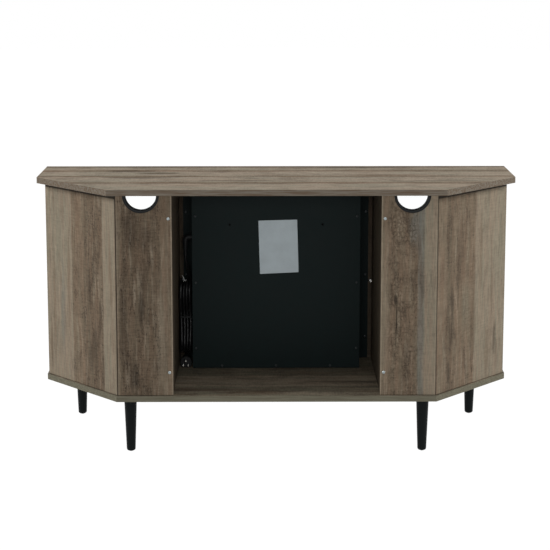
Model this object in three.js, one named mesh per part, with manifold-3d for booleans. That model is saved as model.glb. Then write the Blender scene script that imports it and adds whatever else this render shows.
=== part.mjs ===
// Corner fireplace TV stand: a cabinet with rear corners cut at 45 degrees, two glass doors,
// four tapered legs and an electric fireplace insert in the centre bay.
// Millimetres, +Z up. The doors and the fireplace face -Y, the back faces +Y.
import * as THREE from 'three';
import { mergeVertices } from 'three/addons/utils/BufferGeometryUtils.js';
import Module from 'manifold-3d';

const wasm = await Module();
wasm.setup();

// Clearances
const fitGap = 0.3;
const cutOverrun = 2;

// Cabinet
const topWidth = 1219;
const topDepth = 384;
const topSideDepth = 188;
const overallHeight = 671;
const legHeight = 136;
const boardThickness = 15;
const bodySideInset = 18.5;
const bodySideDepth = 162.5;
const bodyRearInset = 18;
const bodyFrontInset = 7;
const bottomProud = 4;
const dividerReveal = 1;

// Front frame
const topRailHeight = 20;
const bottomRailHeight = 20;
const fireOpeningWidth = 441;
const innerStileLap = 4;
const outerStileWidth = 40;

// Cable notches in the back boards, with their half-round rings
const notchPlaceShare = 0.5415;
const notchRadiusShare = 0.2888;
const ringLip = 5;
const ringWall = 2;
const ringFlangeThickness = 2;

// Shelves
const shelfDrop = 2;
const shelfSetback = 12;
const shelfSideGap = 1;
const pinRadius = 2.5;
const pinDepth = 8;
const pinReach = 8;
const pinPitch = 32;
const pinRows = 5;
const pinFromFront = 32;
const pinFromBack = 40;
const sidePinSpacing = 80;

// Legs
const legTopRadius = 15.7;
const legFootRadius = 11.1;
const legTipRound = 5;
const rearLegFromCorner = 29.5;
const rearLegInset = 48;
const frontLegFromSide = 68;
const frontLegInset = 36;
const glideRadius = 5;
const glideThickness = 1.2;
const legBoltRadius = 4;
const legBoltInBoard = 12;

// Doors
const doorGap = 2;
const doorFrameWidth = 38;
const doorRebate = 6;
const paneThickness = 4;
const paneFromFront = 5;
const knobRadius = 12;
const knobNeckRadius = 6;
const knobLength = 22;
const knobScrewRadius = 2;
const knobScrewLength = 12;

// Door hinges: a leaf on the door, a leaf on the outer stile and a pin
const leafThickness = 1;
const leafGap = 0.6;
const leafLength = 50;
const leafDepth = 11;
const knuckleRadius = 3.5;
const hingePinRadius = 1.5;
const hingeFromDoorEnd = 50;

// Door catches: a magnet block on the divider and a plate on the door
const catchWidth = 14;
const catchHeight = 40;
const catchDepth = 18;
const catchFromTop = 60;
const strikeThickness = 1;

// Holes of the pan head screws in the back boards and the insert's flange
const screwShankRadius = 2;
const boardScrewLength = 32;
const flangeScrewLength = 12;
const boardScrewSetIn = 8.5;
const boardScrewFromEnd = 59;
const flangeScrewInset = 6.5;
const flangeScrewFromTop = 102.5;
const flangeScrewFromBottom = 58.5;

// Fireplace insert
const casingSideGap = 2;
const casingDepth = 110;
const casingFoot = 3.7;
const casingFootRadius = 8;
const casingFootInset = 24;
const sheet = 1.5;
const flangeSide = 28.5;
const flangeOverCasing = 27.3;
const flangeTopGap = 2;
const flangeSideGap = 9;
const rearLip = 14;
const coverScrewRadius = 1.6;
const coverScrewInset = 8.5;
const coverScrewRise = 5.6;
const coverScrewPitch = 142;
const coverScrewFromTop = 67;
const coverScrewFromBottom = 53;
const coverHoleSize = 5;
const coverHoleX = 120.5;
const coverHoleDrop = 89;

// Insert front frame
const bezelThickness = 4;
const bezelProud = 2;
const bezelSide = 20;
const bezelBand = 66;
const bezelFoot = 30;
const bezelGap = 2;
const bezelWall = 2.5;
const bezelWallReach = 12;
const slotLength = 260;
const slotHeight = 6;
const slotPitch = 13;
const slotRows = 3;
const slotFromSide = 43.5;

// Buttons
const buttonRadius = 5;
const buttonFlangeRadius = 6.6;
const buttonFlangeThickness = 1.6;
const buttonProud = 2;
const buttonLength = 12;
const buttonTravel = 1.5;
const buttonFromSide = 34.5;
const buttonPitch = 26;
const boardWidth = 84;
const boardHeight = 34;
const circuitThickness = 1.6;
const switchSize = 6;
const standoffRadius = 2.5;
const standoffInset = 4;

// Flame chamber
const heaterBay = 81.5;
const screenThickness = 3;
const screenSetback = 58;
const rotorHeight = 58;
const rotorSetback = 84;
const rotorShaftRadius = 2.5;
const rotorVanes = 12;
const vaneLength = 24;
const vaneWidth = 28;
const vaneThickness = 1;
const rotorTurnPerVane = 67;
const motorRadius = 22;
const motorDepth = 18;
const bearingThickness = 3;
const bearingRadius = 9;
const emberDepth = 46;
const emberHeight = 20;
const emberLumps = 13;
const lumpRadii = [16, 12.4, 12.4];
const lumpPlaceShares = [0.4, 0.58];

// Heater
const wheelRadius = 21;
const wheelLength = 240;
const wheelBlades = 16;
const bladeInnerShare = 0.72;
const bladeOuterShare = 0.97;
const wheelShaftRadius = 3;
const wheelSetback = 70;
const wheelDrop = 38;
const blowerX = -55;
const housingWall = 2;
const housingGap = 5;
const blowerMotorRadius = 20;
const blowerMotorLength = 38;
const heaterDepth = 12;
const heaterHeight = 44;
const heaterSetback = 22;
const heaterFins = 15;
const heaterWall = 3;
const heaterFinThickness = 2;

// Power cord
const cordDiameter = 7;
const cordSides = 8;
const cordStep = 12;
const hankSides = 6;
const hankLayers = 4;
const hankRun = 140;
const foldRadius = 21;
const foldPitch = 9;
const layerPitch = 7.8;
const waistDraw = 17;
const foldSteps = 6;
const runSteps = 6;
const hankBack = 71.7;
const hankLift = 0.5;
const tieWidth = 5;
const tieThickness = 1.2;
const plugWidth = 30;
const plugLength = 28;
const plugRound = 9;
const plugReliefLength = 22;
const plugReliefRadius = 7.5;
const plugBack = 95.7;
const bladeWidth = 6.4;
const bladeThickness = 1.6;
const bladeLength = 16;
const bladeSpacing = 12.7;
const groundRadius = 2.4;
const groundOffset = 11.9;
const groundExtra = 2;
const plugReliefWall = 1;
const bootBack = 69.7;
const bootDrop = 174;
const bootRadius = 8;
const bootLength = 42;
const bootEndRadius = 4.6;
const bootFlangeRadius = 11;
const bootFlangeThickness = 2;
const bootNeckRadius = 5;

// A turn in degrees, and the facets of round pieces
const fullTurn = 360;
const roundSides = 20;
const smallSides = 12;
const pinSides = 8;

// Levels and planes that the pieces share
const reach = topDepth - bodyFrontInset + knobLength + fitGap;
const rearY = reach / 2;
const fromRear = (distance) => rearY - distance;
const bottomTopZ = legHeight + boardThickness;
const topUnderZ = overallHeight - boardThickness;
const wallBaseZ = bottomTopZ + fitGap;
const wallTopZ = topUnderZ - fitGap;
const frontY = fromRear(topDepth - bodyFrontInset);
const frameBackY = frontY + boardThickness;
const bodyRearY = fromRear(bodyRearInset);
const halfBody = topWidth / 2 - bodySideInset;
const bodyDepth = topDepth - bodyRearInset - bodyFrontInset;
const bodyCornerCut = bodyDepth - bodySideDepth;
const halfCase = fireOpeningWidth / 2 - casingSideGap;
const halfFlange = halfCase + flangeSide;
const halfRearOpening = halfFlange + flangeSideGap;
const dividerInnerX = halfRearOpening + dividerReveal;
const dividerOuterX = dividerInnerX + boardThickness;
const stileInnerX = fireOpeningWidth / 2;
const stileOuterX = dividerOuterX + innerStileLap;
const jambX = halfBody - outerStileWidth;
const shelfHeight = (bottomTopZ + topUnderZ - boardThickness) / 2 - shelfDrop;
const flangeHeight = topUnderZ - bottomTopZ - flangeTopGap;
const casingHeight = flangeHeight - flangeOverCasing - casingFoot;
const railTopZ = wallTopZ - topRailHeight;
const railBottomZ = wallBaseZ + bottomRailHeight;

// Materials
const looks = {
  wood: { color: 0x8a7d70, roughness: 0.6, metalness: 0 },
  woodTop: { color: 0x93887c, roughness: 0.55, metalness: 0 },
  blackPaint: { color: 0x14181a, roughness: 0.5, metalness: 0.1 },
  blackPlastic: { color: 0x101214, roughness: 0.45, metalness: 0 },
  steel: { color: 0xb8babc, roughness: 0.3, metalness: 1 },
  glass: { color: 0xdfe8ea, roughness: 0.05, metalness: 0, transparent: true, opacity: 0.3 },
  smokedScreen: { color: 0x3a3230, roughness: 0.3, metalness: 0, transparent: true, opacity: 0.6 },
  log: { color: 0x5a4030, roughness: 0.9, metalness: 0 },
  ember: { color: 0x3a2018, roughness: 0.9, metalness: 0 },
  circuit: { color: 0x1d5a36, roughness: 0.5, metalness: 0 },
  ceramic: { color: 0xb9b2a4, roughness: 0.7, metalness: 0 },
};

// Solids

function solidOf(geometry) {
  geometry.deleteAttribute('normal');
  geometry.deleteAttribute('uv');
  const merged = mergeVertices(geometry, 1e-4);
  const positions = new Float32Array(merged.attributes.position.array);
  const triangles = new Uint32Array(merged.index.array);
  return new wasm.Manifold(new wasm.Mesh({ numProp: 3, vertProperties: positions, triVerts: triangles }));
}

function geometryOf(solid) {
  const result = solid.getMesh();
  const geometry = new THREE.BufferGeometry();
  geometry.setAttribute('position', new THREE.BufferAttribute(result.vertProperties, 3));
  geometry.setIndex(new THREE.BufferAttribute(result.triVerts, 1));
  return geometry;
}

const join = (solids) => solids.reduce((whole, solid) => whole.add(solid));
const cut = (solid, tools) => tools.reduce((rest, tool) => rest.subtract(tool), solid);

// A box between two corners
function block(low, high) {
  const size = high.map((value, axis) => value - low[axis]);
  const geometry = new THREE.BoxGeometry(...size);
  geometry.translate(...low.map((value, axis) => value + size[axis] / 2));
  return solidOf(geometry);
}

// A round bar between two points, which tapers when the end radius differs
function rod(radius, start, end, sides = smallSides, endRadius = radius) {
  const from = new THREE.Vector3(...start);
  const along = new THREE.Vector3(...end).sub(from);
  const geometry = new THREE.CylinderGeometry(endRadius, radius, along.length(), sides);
  geometry.translate(0, along.length() / 2, 0);
  const turn = new THREE.Quaternion().setFromUnitVectors(
    new THREE.Vector3(0, 1, 0),
    along.clone().normalize(),
  );
  geometry.applyQuaternion(turn);
  geometry.translate(...start);
  return solidOf(geometry);
}

// An upright prism over a plan outline
function prism(plan, low, high) {
  const shape = new THREE.Shape(plan.map(([x, y]) => new THREE.Vector2(x, y)));
  const geometry = new THREE.ExtrudeGeometry(shape, { depth: high - low, bevelEnabled: false });
  geometry.translate(0, 0, low);
  return solidOf(geometry);
}

// A plate in the XZ plane, from its front face towards +Y
function frontPlate(shape, front, thickness, curveSegments = smallSides) {
  const geometry = new THREE.ExtrudeGeometry(shape, {
    depth: thickness,
    bevelEnabled: false,
    curveSegments,
  });
  geometry.rotateX(Math.PI / 2);
  geometry.translate(0, front + thickness, 0);
  return solidOf(geometry);
}

// A turned piece on the Z axis; its profile of [radius, height] runs from the bottom up
function turned(profile, sides = roundSides) {
  const points = profile.map(([radius, height]) => new THREE.Vector2(radius, height));
  const geometry = new THREE.LatheGeometry(points, sides);
  geometry.rotateX(Math.PI / 2);
  return solidOf(geometry);
}

function rectangle(left, right, low, high) {
  const shape = new THREE.Shape();
  shape.moveTo(left, low);
  shape.lineTo(right, low);
  shape.lineTo(right, high);
  shape.lineTo(left, high);
  shape.closePath();
  return shape;
}

function add(parent, name, solid, look, place = [0, 0, 0]) {
  const material = new THREE.MeshStandardMaterial(looks[look]);
  const mesh = new THREE.Mesh(geometryOf(solid), material);
  mesh.name = name;
  mesh.position.set(...place);
  parent.add(mesh);
  return mesh;
}

function addGroup(parent, place) {
  const group = new THREE.Group();
  group.position.set(...place);
  parent.add(group);
  return group;
}

const stand = new THREE.Group();
const sides = [['left', -1], ['right', 1]];

// Plan outlines

// The body's outer faces, moved out by an offset
function bodyPlan(offset) {
  return {
    half: halfBody + offset,
    rear: bodyRearY + offset,
    cut: bodyCornerCut + offset * (2 - Math.SQRT2),
  };
}

const outer = bodyPlan(0);
const inner = bodyPlan(-boardThickness);

// A cut-corner outline from its half width, rear, front and corner cut
function cornerPlan(half, rear, front, corner) {
  return [
    [-half, front],
    [half, front],
    [half, rear - corner],
    [half - corner, rear],
    [corner - half, rear],
    [-half, rear - corner],
  ];
}

// A wall board between two mitred ends, each drawn back by half the seam
function wallPlan(outerStart, outerEnd, innerEnd, innerStart) {
  const along = new THREE.Vector2(outerEnd[0] - outerStart[0], outerEnd[1] - outerStart[1]);
  along.normalize().multiplyScalar(fitGap / 2);
  const shift = ([x, y], sign) => [x + sign * along.x, y + sign * along.y];
  return [shift(outerStart, 1), shift(outerEnd, -1), shift(innerEnd, -1), shift(innerStart, 1)];
}

// Top and bottom boards

const topPlan = cornerPlan(topWidth / 2, rearY, fromRear(topDepth), topDepth - topSideDepth);
add(stand, 'top_panel', prism(topPlan, topUnderZ, overallHeight), 'woodTop');

const rearLegX = halfBody - bodyCornerCut - rearLegFromCorner;
const frontLegX = halfBody - frontLegFromSide;
const legPlaces = [
  ['front_left_leg', -frontLegX, fromRear(topDepth - frontLegInset)],
  ['front_right_leg', frontLegX, fromRear(topDepth - frontLegInset)],
  ['rear_left_leg', -rearLegX, fromRear(rearLegInset)],
  ['rear_right_leg', rearLegX, fromRear(rearLegInset)],
];
const bottomOutline = bodyPlan(bottomProud);
const bottomPlan = cornerPlan(
  bottomOutline.half,
  bottomOutline.rear,
  frontY - bottomProud,
  bottomOutline.cut,
);
const boltHoles = legPlaces.map(([, x, y]) => rod(
  legBoltRadius + fitGap,
  [x, y, legHeight - cutOverrun],
  [x, y, legHeight + legBoltInBoard + fitGap],
));
const bottomBoard = cut(prism(bottomPlan, legHeight, bottomTopZ), boltHoles);
add(stand, 'bottom_panel', bottomBoard, 'wood');

// Walls

const boardScrewHeights = [wallBaseZ + boardScrewFromEnd, wallTopZ - boardScrewFromEnd];
const boardScrewX = halfRearOpening + boardScrewSetIn;

function screwHoles(x, depth) {
  return boardScrewHeights.map((z) => rod(
    screwShankRadius + fitGap,
    [x, bodyRearY + cutOverrun, z],
    [x, bodyRearY - depth, z],
    pinSides,
  ));
}

// Rows of shelf pin holes: the middle one carries the shelf
const pinZ = shelfHeight - fitGap - pinRadius;
const pinHeights = Array.from(
  { length: pinRows },
  (_, row) => pinZ + (row - (pinRows - 1) / 2) * pinPitch,
);
const shelfFrontY = frameBackY + shelfSetback;
const dividerPinYs = [shelfFrontY + pinFromFront, inner.rear - pinFromBack];
const sidePinYs = [shelfFrontY + pinFromFront, shelfFrontY + pinFromFront + sidePinSpacing];

function pinHoles(x, direction, places) {
  return places.flatMap((y) => pinHeights.map((z) => rod(
    pinRadius + fitGap,
    [x - direction * cutOverrun, y, z],
    [x + direction * (pinDepth + fitGap), y, z],
    pinSides,
  )));
}

// The pins that carry the shelf, seated at the bottom of the middle holes
function shelfPins(x, direction, places) {
  return places.map((y) => rod(
    pinRadius,
    [x + direction * (pinDepth + 2 * fitGap), y, pinZ],
    [x - direction * pinReach, y, pinZ],
    pinSides,
  ));
}

const notchFace = bodyRearY + fitGap;
const backBoardWidth = outer.half - outer.cut - halfRearOpening;
const notchX = halfRearOpening + backBoardWidth * notchPlaceShare;
const notchRadius = backBoardWidth * notchRadiusShare;
const ringBore = notchRadius - ringWall;

function halfRing(radius, bore) {
  const shape = new THREE.Shape();
  shape.absarc(0, 0, radius, Math.PI, 2 * Math.PI, false);
  shape.absarc(0, 0, bore, 2 * Math.PI, Math.PI, true);
  shape.closePath();
  return shape;
}

function cableRing(x) {
  const lip = halfRing(notchRadius + ringLip, ringBore);
  const flange = frontPlate(lip, notchFace, ringFlangeThickness);
  const sleeve = frontPlate(
    halfRing(notchRadius - fitGap, ringBore),
    notchFace - boardThickness,
    boardThickness + ringFlangeThickness / 2,
  );
  return flange.add(sleeve).translate([x, 0, wallTopZ]);
}

for (const [side, s] of sides) {
  const open = [s * halfRearOpening, outer.rear];
  const openInner = [s * halfRearOpening, inner.rear];
  const cornerOuter = [s * (outer.half - outer.cut), outer.rear];
  const cornerInner = [s * (inner.half - inner.cut), inner.rear];
  const sideOuter = [s * outer.half, outer.rear - outer.cut];
  const sideInner = [s * inner.half, inner.rear - inner.cut];
  const frontOuter = [s * outer.half, frameBackY + fitGap];
  const frontInner = [s * inner.half, frameBackY + fitGap];

  const notch = rod(
    notchRadius,
    [s * notchX, bodyRearY + cutOverrun, wallTopZ],
    [s * notchX, inner.rear - cutOverrun, wallTopZ],
    roundSides + smallSides,
  );
  const backBoard = prism(wallPlan(open, cornerOuter, cornerInner, openInner), wallBaseZ, wallTopZ);
  const backHoles = screwHoles(s * boardScrewX, boardThickness + cutOverrun);
  add(stand, `${side}_back_panel`, cut(backBoard, [notch, ...backHoles]), 'wood');

  add(stand, `${side}_cable_ring`, cableRing(s * notchX), 'blackPlastic');

  const cornerBoard = wallPlan(cornerOuter, sideOuter, sideInner, cornerInner);
  add(stand, `${side}_corner_panel`, prism(cornerBoard, wallBaseZ, wallTopZ), 'wood');

  const sideBoard = prism(wallPlan(sideOuter, frontOuter, frontInner, sideInner), wallBaseZ, wallTopZ);
  const sideHoles = pinHoles(s * inner.half, s, sidePinYs);
  const sidePins = shelfPins(s * inner.half, s, sidePinYs);
  add(stand, `${side}_side_panel`, join([cut(sideBoard, sideHoles), ...sidePins]), 'wood');

  const dividerX = [s * dividerInnerX, s * dividerOuterX].sort((a, b) => a - b);
  const divider = block(
    [dividerX[0], frameBackY + fitGap, wallBaseZ],
    [dividerX[1], inner.rear - fitGap, wallTopZ],
  );
  const dividerHoles = [
    ...screwHoles(s * boardScrewX, boardScrewLength + fitGap),
    ...pinHoles(s * dividerOuterX, -s, dividerPinYs),
  ];
  const dividerPins = shelfPins(s * dividerOuterX, -s, dividerPinYs);
  add(stand, `${side}_divider`, join([cut(divider, dividerHoles), ...dividerPins]), 'wood');
}

// Front frame

const topRail = block([-halfBody, frontY, railTopZ], [halfBody, frameBackY, wallTopZ]);
add(stand, 'front_top_rail', topRail, 'wood');
const bottomRail = block([-halfBody, frontY, wallBaseZ], [halfBody, frameBackY, railBottomZ]);
add(stand, 'front_bottom_rail', bottomRail, 'wood');

const flangeBaseZ = bottomTopZ + fitGap;
const flangeScrewX = halfFlange - flangeScrewInset;
const flangeScrewLow = flangeBaseZ + flangeScrewFromBottom;
const flangeScrewHigh = flangeBaseZ + flangeHeight - flangeScrewFromTop;
const flangeScrewZs = [flangeScrewLow, (flangeScrewLow + flangeScrewHigh) / 2, flangeScrewHigh];
const stileLow = railBottomZ + fitGap;
const stileHigh = railTopZ - fitGap;

function screwTunnel(x, y, z, radius, depth) {
  return rod(radius, [x, y + cutOverrun, z], [x, y - depth, z], pinSides);
}

for (const [side, s] of sides) {
  const innerX = [s * stileInnerX, s * stileOuterX].sort((a, b) => a - b);
  const innerStile = block([innerX[0], frontY, stileLow], [innerX[1], frameBackY, stileHigh]);
  const tunnels = flangeScrewZs.map((z) => screwTunnel(
    s * flangeScrewX,
    frameBackY,
    z,
    screwShankRadius + fitGap,
    flangeScrewLength,
  ));
  add(stand, `${side}_inner_stile`, cut(innerStile, tunnels), 'wood');

  const outerX = [s * jambX, s * halfBody].sort((a, b) => a - b);
  const outerStile = block([outerX[0], frontY, stileLow], [outerX[1], frameBackY, stileHigh]);
  add(stand, `${side}_outer_stile`, outerStile, 'wood');
}

// Shelves

for (const [side, s] of sides) {
  const near = s * (dividerOuterX + shelfSideGap);
  const far = s * (inner.half - shelfSideGap);
  const shelfRear = inner.rear - shelfSideGap;
  const shelfCut = inner.cut + shelfSideGap * (2 - Math.SQRT2) - 2 * shelfSideGap;
  const shelfHalf = inner.half - shelfSideGap;
  const plan = [
    [near, shelfFrontY],
    [far, shelfFrontY],
    [far, shelfRear - shelfCut],
    [s * (shelfHalf - shelfCut), shelfRear],
    [near, shelfRear],
  ];
  add(stand, `${side}_shelf`, prism(plan, shelfHeight, shelfHeight + boardThickness), 'wood');
}

// Legs, each turned in one with its glide, and with the bolt that holds it in the bottom board

const legTop = legHeight - fitGap;

const tipSteps = 4;

function tipArc() {
  return Array.from({ length: tipSteps + 1 }, (_, step) => {
    const angle = (step / tipSteps) * Math.PI / 2;
    const radius = legFootRadius - legTipRound * (1 - Math.sin(angle));
    return [radius, glideThickness + legTipRound * (1 - Math.cos(angle))];
  });
}

const legProfile = [
  [0, 0],
  [glideRadius, 0],
  [glideRadius, glideThickness],
  ...tipArc().slice(1),
  [legTopRadius, legTop],
  [legBoltRadius, legTop],
  [legBoltRadius, legHeight + legBoltInBoard],
  [0, legHeight + legBoltInBoard],
];
for (const [name, x, y] of legPlaces) {
  add(stand, name, turned(legProfile), 'blackPaint', [x, y, 0]);
}

// Doors: each group stands on its hinge axis, and x runs from the axis into the door

const hingeGap = 2 * fitGap + 2 * leafThickness + leafGap;
const hingeX = jambX - hingeGap / 2;
const hingeY = frontY - knuckleRadius - fitGap;
const doorLow = railBottomZ + doorGap;
const doorHigh = railTopZ - doorGap;
const doorStart = hingeGap / 2;
const doorEnd = hingeX - stileOuterX - doorGap;
const doorFace = frontY - hingeY;
const knuckleLength = (leafLength - 4 * fitGap) / 3;
const hingeLows = [doorLow + hingeFromDoorEnd, doorHigh - hingeFromDoorEnd - leafLength];
const catchTop = doorHigh - catchFromTop;
const strikeBackY = boardThickness + strikeThickness;
const knobX = doorEnd - doorFrameWidth / 2;
const knobZ = (doorLow + doorHigh) / 2;

function doorFrame(s) {
  const x = [s * -doorStart, s * -doorEnd].sort((a, b) => a - b);
  const shape = rectangle(x[0], x[1], doorLow, doorHigh);
  const w = doorFrameWidth;
  shape.holes.push(rectangle(x[0] + w, x[1] - w, doorLow + w, doorHigh - w));
  const body = frontPlate(shape, doorFace, boardThickness);
  const r = doorFrameWidth - doorRebate;
  const slotFront = doorFace + paneFromFront;
  const groove = block(
    [x[0] + r, slotFront, doorLow + r],
    [x[1] - r, slotFront + paneThickness + 2 * fitGap, doorHigh - r],
  );
  const screwHole = rod(
    knobScrewRadius + fitGap,
    [-s * knobX, doorFace - cutOverrun, knobZ],
    [-s * knobX, doorFace + knobScrewLength + fitGap, knobZ],
    pinSides,
  );
  return cut(body, [groove, screwHole]);
}

function doorPane(s) {
  const x = [s * -doorStart, s * -doorEnd].sort((a, b) => a - b);
  const r = doorFrameWidth - doorRebate + fitGap;
  const front = doorFace + paneFromFront + fitGap;
  return block(
    [x[0] + r, front, doorLow + r],
    [x[1] - r, front + paneThickness, doorHigh - r],
  );
}

// A leaf stands beside the axis at the given sign; its knuckles are counted from the bottom.
// The leaf with the pin belongs to the stile, and the other one is let into the door's edge.
function hingeLeaf(side, low, ownKnuckles, withPin) {
  const near = side * (leafGap / 2);
  const far = side * (leafGap / 2 + leafThickness + (withPin ? 0 : 2 * fitGap));
  const x = [near, far].sort((a, b) => a - b);
  const clear = knuckleRadius + fitGap;
  const step = knuckleLength + 2 * fitGap;
  const plate = block([x[0], clear, low], [x[1], clear + leafDepth, low + leafLength]);
  const parts = [plate];
  for (const index of ownKnuckles) {
    const start = low + index * step;
    const end = start + knuckleLength;
    parts.push(rod(knuckleRadius, [0, 0, start], [0, 0, end], smallSides));
    parts.push(block([x[0], 0, start], [x[1], clear + leafThickness, end]));
  }
  const leaf = join(parts);
  if (withPin) {
    const inset = knuckleLength / 2;
    return leaf.add(rod(hingePinRadius, [0, 0, low + inset], [0, 0, low + leafLength - inset]));
  }
  const bore = rod(
    hingePinRadius + fitGap,
    [0, 0, low - cutOverrun],
    [0, 0, low + leafLength + cutOverrun],
  );
  return cut(leaf, [bore]);
}

// The knob's head, as shares of its radius and length
const knobShares = [[0.85, 0.5], [1, 0.68], [0.96, 0.88], [0.72, 1]];
const knobNeckShare = 0.35;
const knobProfile = [
  [0, 0],
  [knobNeckRadius, 0],
  [knobNeckRadius, knobLength * knobNeckShare],
  ...knobShares.map(([radius, height]) => [radius * knobRadius, height * knobLength]),
  [0, knobLength],
];

// The knob points to -Y from the door's face, and its screw runs back into the door
function doorKnob(x) {
  const knob = turned(knobProfile).rotate([90, 0, 0]).translate([x, doorFace - fitGap, knobZ]);
  const screw = rod(
    knobScrewRadius,
    [x, doorFace - knobLength / 3, knobZ],
    [x, doorFace + knobScrewLength, knobZ],
    pinSides,
  );
  return knob.add(screw);
}

for (const [side, s] of sides) {
  const door = addGroup(stand, [s * hingeX, hingeY, 0]);
  add(door, `${side}_door_glass`, doorPane(s), 'glass');
  add(door, `${side}_door_knob`, doorKnob(-s * knobX), 'steel');

  const catchCentre = stileOuterX + doorGap + catchWidth / 2;
  const strikeX = hingeX - catchCentre;
  const strike = block(
    [-s * strikeX - catchWidth / 2, doorFace + boardThickness - fitGap, catchTop - catchHeight],
    [-s * strikeX + catchWidth / 2, doorFace + strikeBackY, catchTop],
  );
  const doorLeaves = hingeLows.map((low) => hingeLeaf(-s, low, [1], false));
  add(door, `${side}_door_frame`, join([doorFrame(s), strike, ...doorLeaves]), 'wood');
  ['lower', 'upper'].forEach((level, index) => {
    const leaf = hingeLeaf(s, hingeLows[index], [0, 2], true);
    add(stand, `${side}_${level}_hinge`, leaf, 'steel', [s * hingeX, hingeY, 0]);
  });

  const catchFront = frontY + strikeBackY + fitGap;
  const catchX = [s * (dividerOuterX + fitGap), s * (catchCentre + catchWidth / 2)];
  catchX.sort((a, b) => a - b);
  add(stand, `${side}_door_catch`, block(
    [catchX[0], catchFront, catchTop - catchHeight],
    [catchX[1], catchFront + catchDepth, catchTop],
  ), 'blackPlastic');
}

// Fireplace insert: its group stands on the flange's front face, above the bottom board

const insertY = frameBackY + fitGap;
const insertZ = bottomTopZ + fitGap;
const insert = addGroup(stand, [0, insertY, insertZ]);
const innerCase = halfCase - sheet;
const caseLow = casingFoot;
const caseHigh = casingFoot + casingHeight;
const caseFloor = caseLow + sheet;
const caseRoof = caseHigh - sheet;
const lipBackY = casingDepth;
const coverFrontY = lipBackY + fitGap;
const coverBackY = coverFrontY + sheet;
const wallHoleZ = topUnderZ - bootDrop + boardThickness - insertZ;
const bootY = bootBack;

// Places of the cover screws, around the cover's edge
function coverScrewPlaces() {
  const low = caseLow + coverScrewFromBottom;
  const high = caseHigh - coverScrewFromTop;
  const sideX = halfCase - coverScrewInset;
  const sidePlaces = [low, (low + high) / 2, high].flatMap((z) => [[-sideX, z], [sideX, z]]);
  const endPlaces = [-1, 0, 1].flatMap((step) => [
    [step * coverScrewPitch, caseLow + coverScrewRise],
    [step * coverScrewPitch, caseHigh - coverScrewRise],
  ]);
  return [...sidePlaces, ...endPlaces];
}

function coverHoles(radius) {
  return coverScrewPlaces().map(([x, z]) => rod(
    radius,
    [x, lipBackY - sheet - cutOverrun, z],
    [x, coverBackY + cutOverrun, z],
    pinSides,
  ));
}

const chamberRoofTop = caseRoof - heaterBay;
const chamberRoof = chamberRoofTop - sheet;
const screenY = screenSetback;
const rotorZ = caseFloor + rotorHeight;
const rotorHalf = innerCase - motorDepth - bearingThickness - fitGap;

function casing() {
  const flangeShape = rectangle(-halfFlange, halfFlange, 0, flangeHeight - fitGap);
  flangeShape.holes.push(rectangle(-innerCase, innerCase, caseFloor, caseRoof));
  const sleeveShape = rectangle(-halfCase, halfCase, caseLow, caseHigh);
  sleeveShape.holes.push(rectangle(-innerCase, innerCase, caseFloor, caseRoof));
  const lipShape = rectangle(-halfCase, halfCase, caseLow, caseHigh);
  lipShape.holes.push(rectangle(
    rearLip - halfCase,
    halfCase - rearLip,
    caseLow + rearLip,
    caseHigh - rearLip,
  ));
  const roof = block(
    [-halfCase + sheet / 2, bezelWallReach + fitGap, chamberRoof],
    [halfCase - sheet / 2, lipBackY - sheet / 2, chamberRoofTop],
  );
  const feet = [-1, 1].flatMap((sx) => [casingDepth / 4, casingDepth * 3 / 4].map((y) => {
    const x = sx * (halfCase - casingFootInset);
    return rod(casingFootRadius, [x, y, 0], [x, y, caseLow + sheet / 2]);
  }));
  const bearing = block(
    [rotorHalf + fitGap, rotorSetback - bearingRadius, caseFloor - sheet / 2],
    [rotorHalf + bearingThickness, rotorSetback + bearingRadius, rotorZ + bearingRadius],
  );
  const bearingBore = rod(
    rotorShaftRadius + fitGap,
    [rotorHalf - bearingThickness, rotorSetback, rotorZ],
    [rotorHalf + 2 * bearingThickness, rotorSetback, rotorZ],
  );
  const whole = join([
    cut(bearing, [bearingBore]),
    frontPlate(flangeShape, 0, sheet),
    frontPlate(sleeveShape, 0, lipBackY),
    frontPlate(lipShape, lipBackY - sheet, sheet),
    roof,
    ...feet,
  ]);
  const flangeHoles = [-1, 1].flatMap((sx) => flangeScrewZs.map((z) => rod(
    screwShankRadius + fitGap,
    [sx * flangeScrewX, -cutOverrun, z - insertZ],
    [sx * flangeScrewX, sheet + cutOverrun, z - insertZ],
    pinSides,
  )));
  const bootHole = rod(
    bootNeckRadius + fitGap,
    [innerCase - cutOverrun, bootY, wallHoleZ],
    [halfCase + cutOverrun, bootY, wallHoleZ],
  );
  return cut(whole, [...flangeHoles, ...coverHoles(coverScrewRadius + fitGap), bootHole]);
}

function backCover() {
  const plate = block([-halfCase, coverFrontY, caseLow], [halfCase, coverBackY, caseHigh]);
  const squares = [-1, 1].map((sx) => {
    const x = sx * coverHoleX;
    const z = caseHigh - coverHoleDrop;
    return block(
      [x - coverHoleSize / 2, coverFrontY - cutOverrun, z - coverHoleSize / 2],
      [x + coverHoleSize / 2, coverBackY + cutOverrun, z + coverHoleSize / 2],
    );
  });
  return cut(plate, [...squares, ...coverHoles(coverScrewRadius + fitGap)]);
}

add(insert, 'insert_casing', casing(), 'blackPaint');
add(insert, 'insert_back_cover', backCover(), 'blackPaint');

// Insert front frame, with a pocket for the glass and a band for the outlet and the buttons

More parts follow.
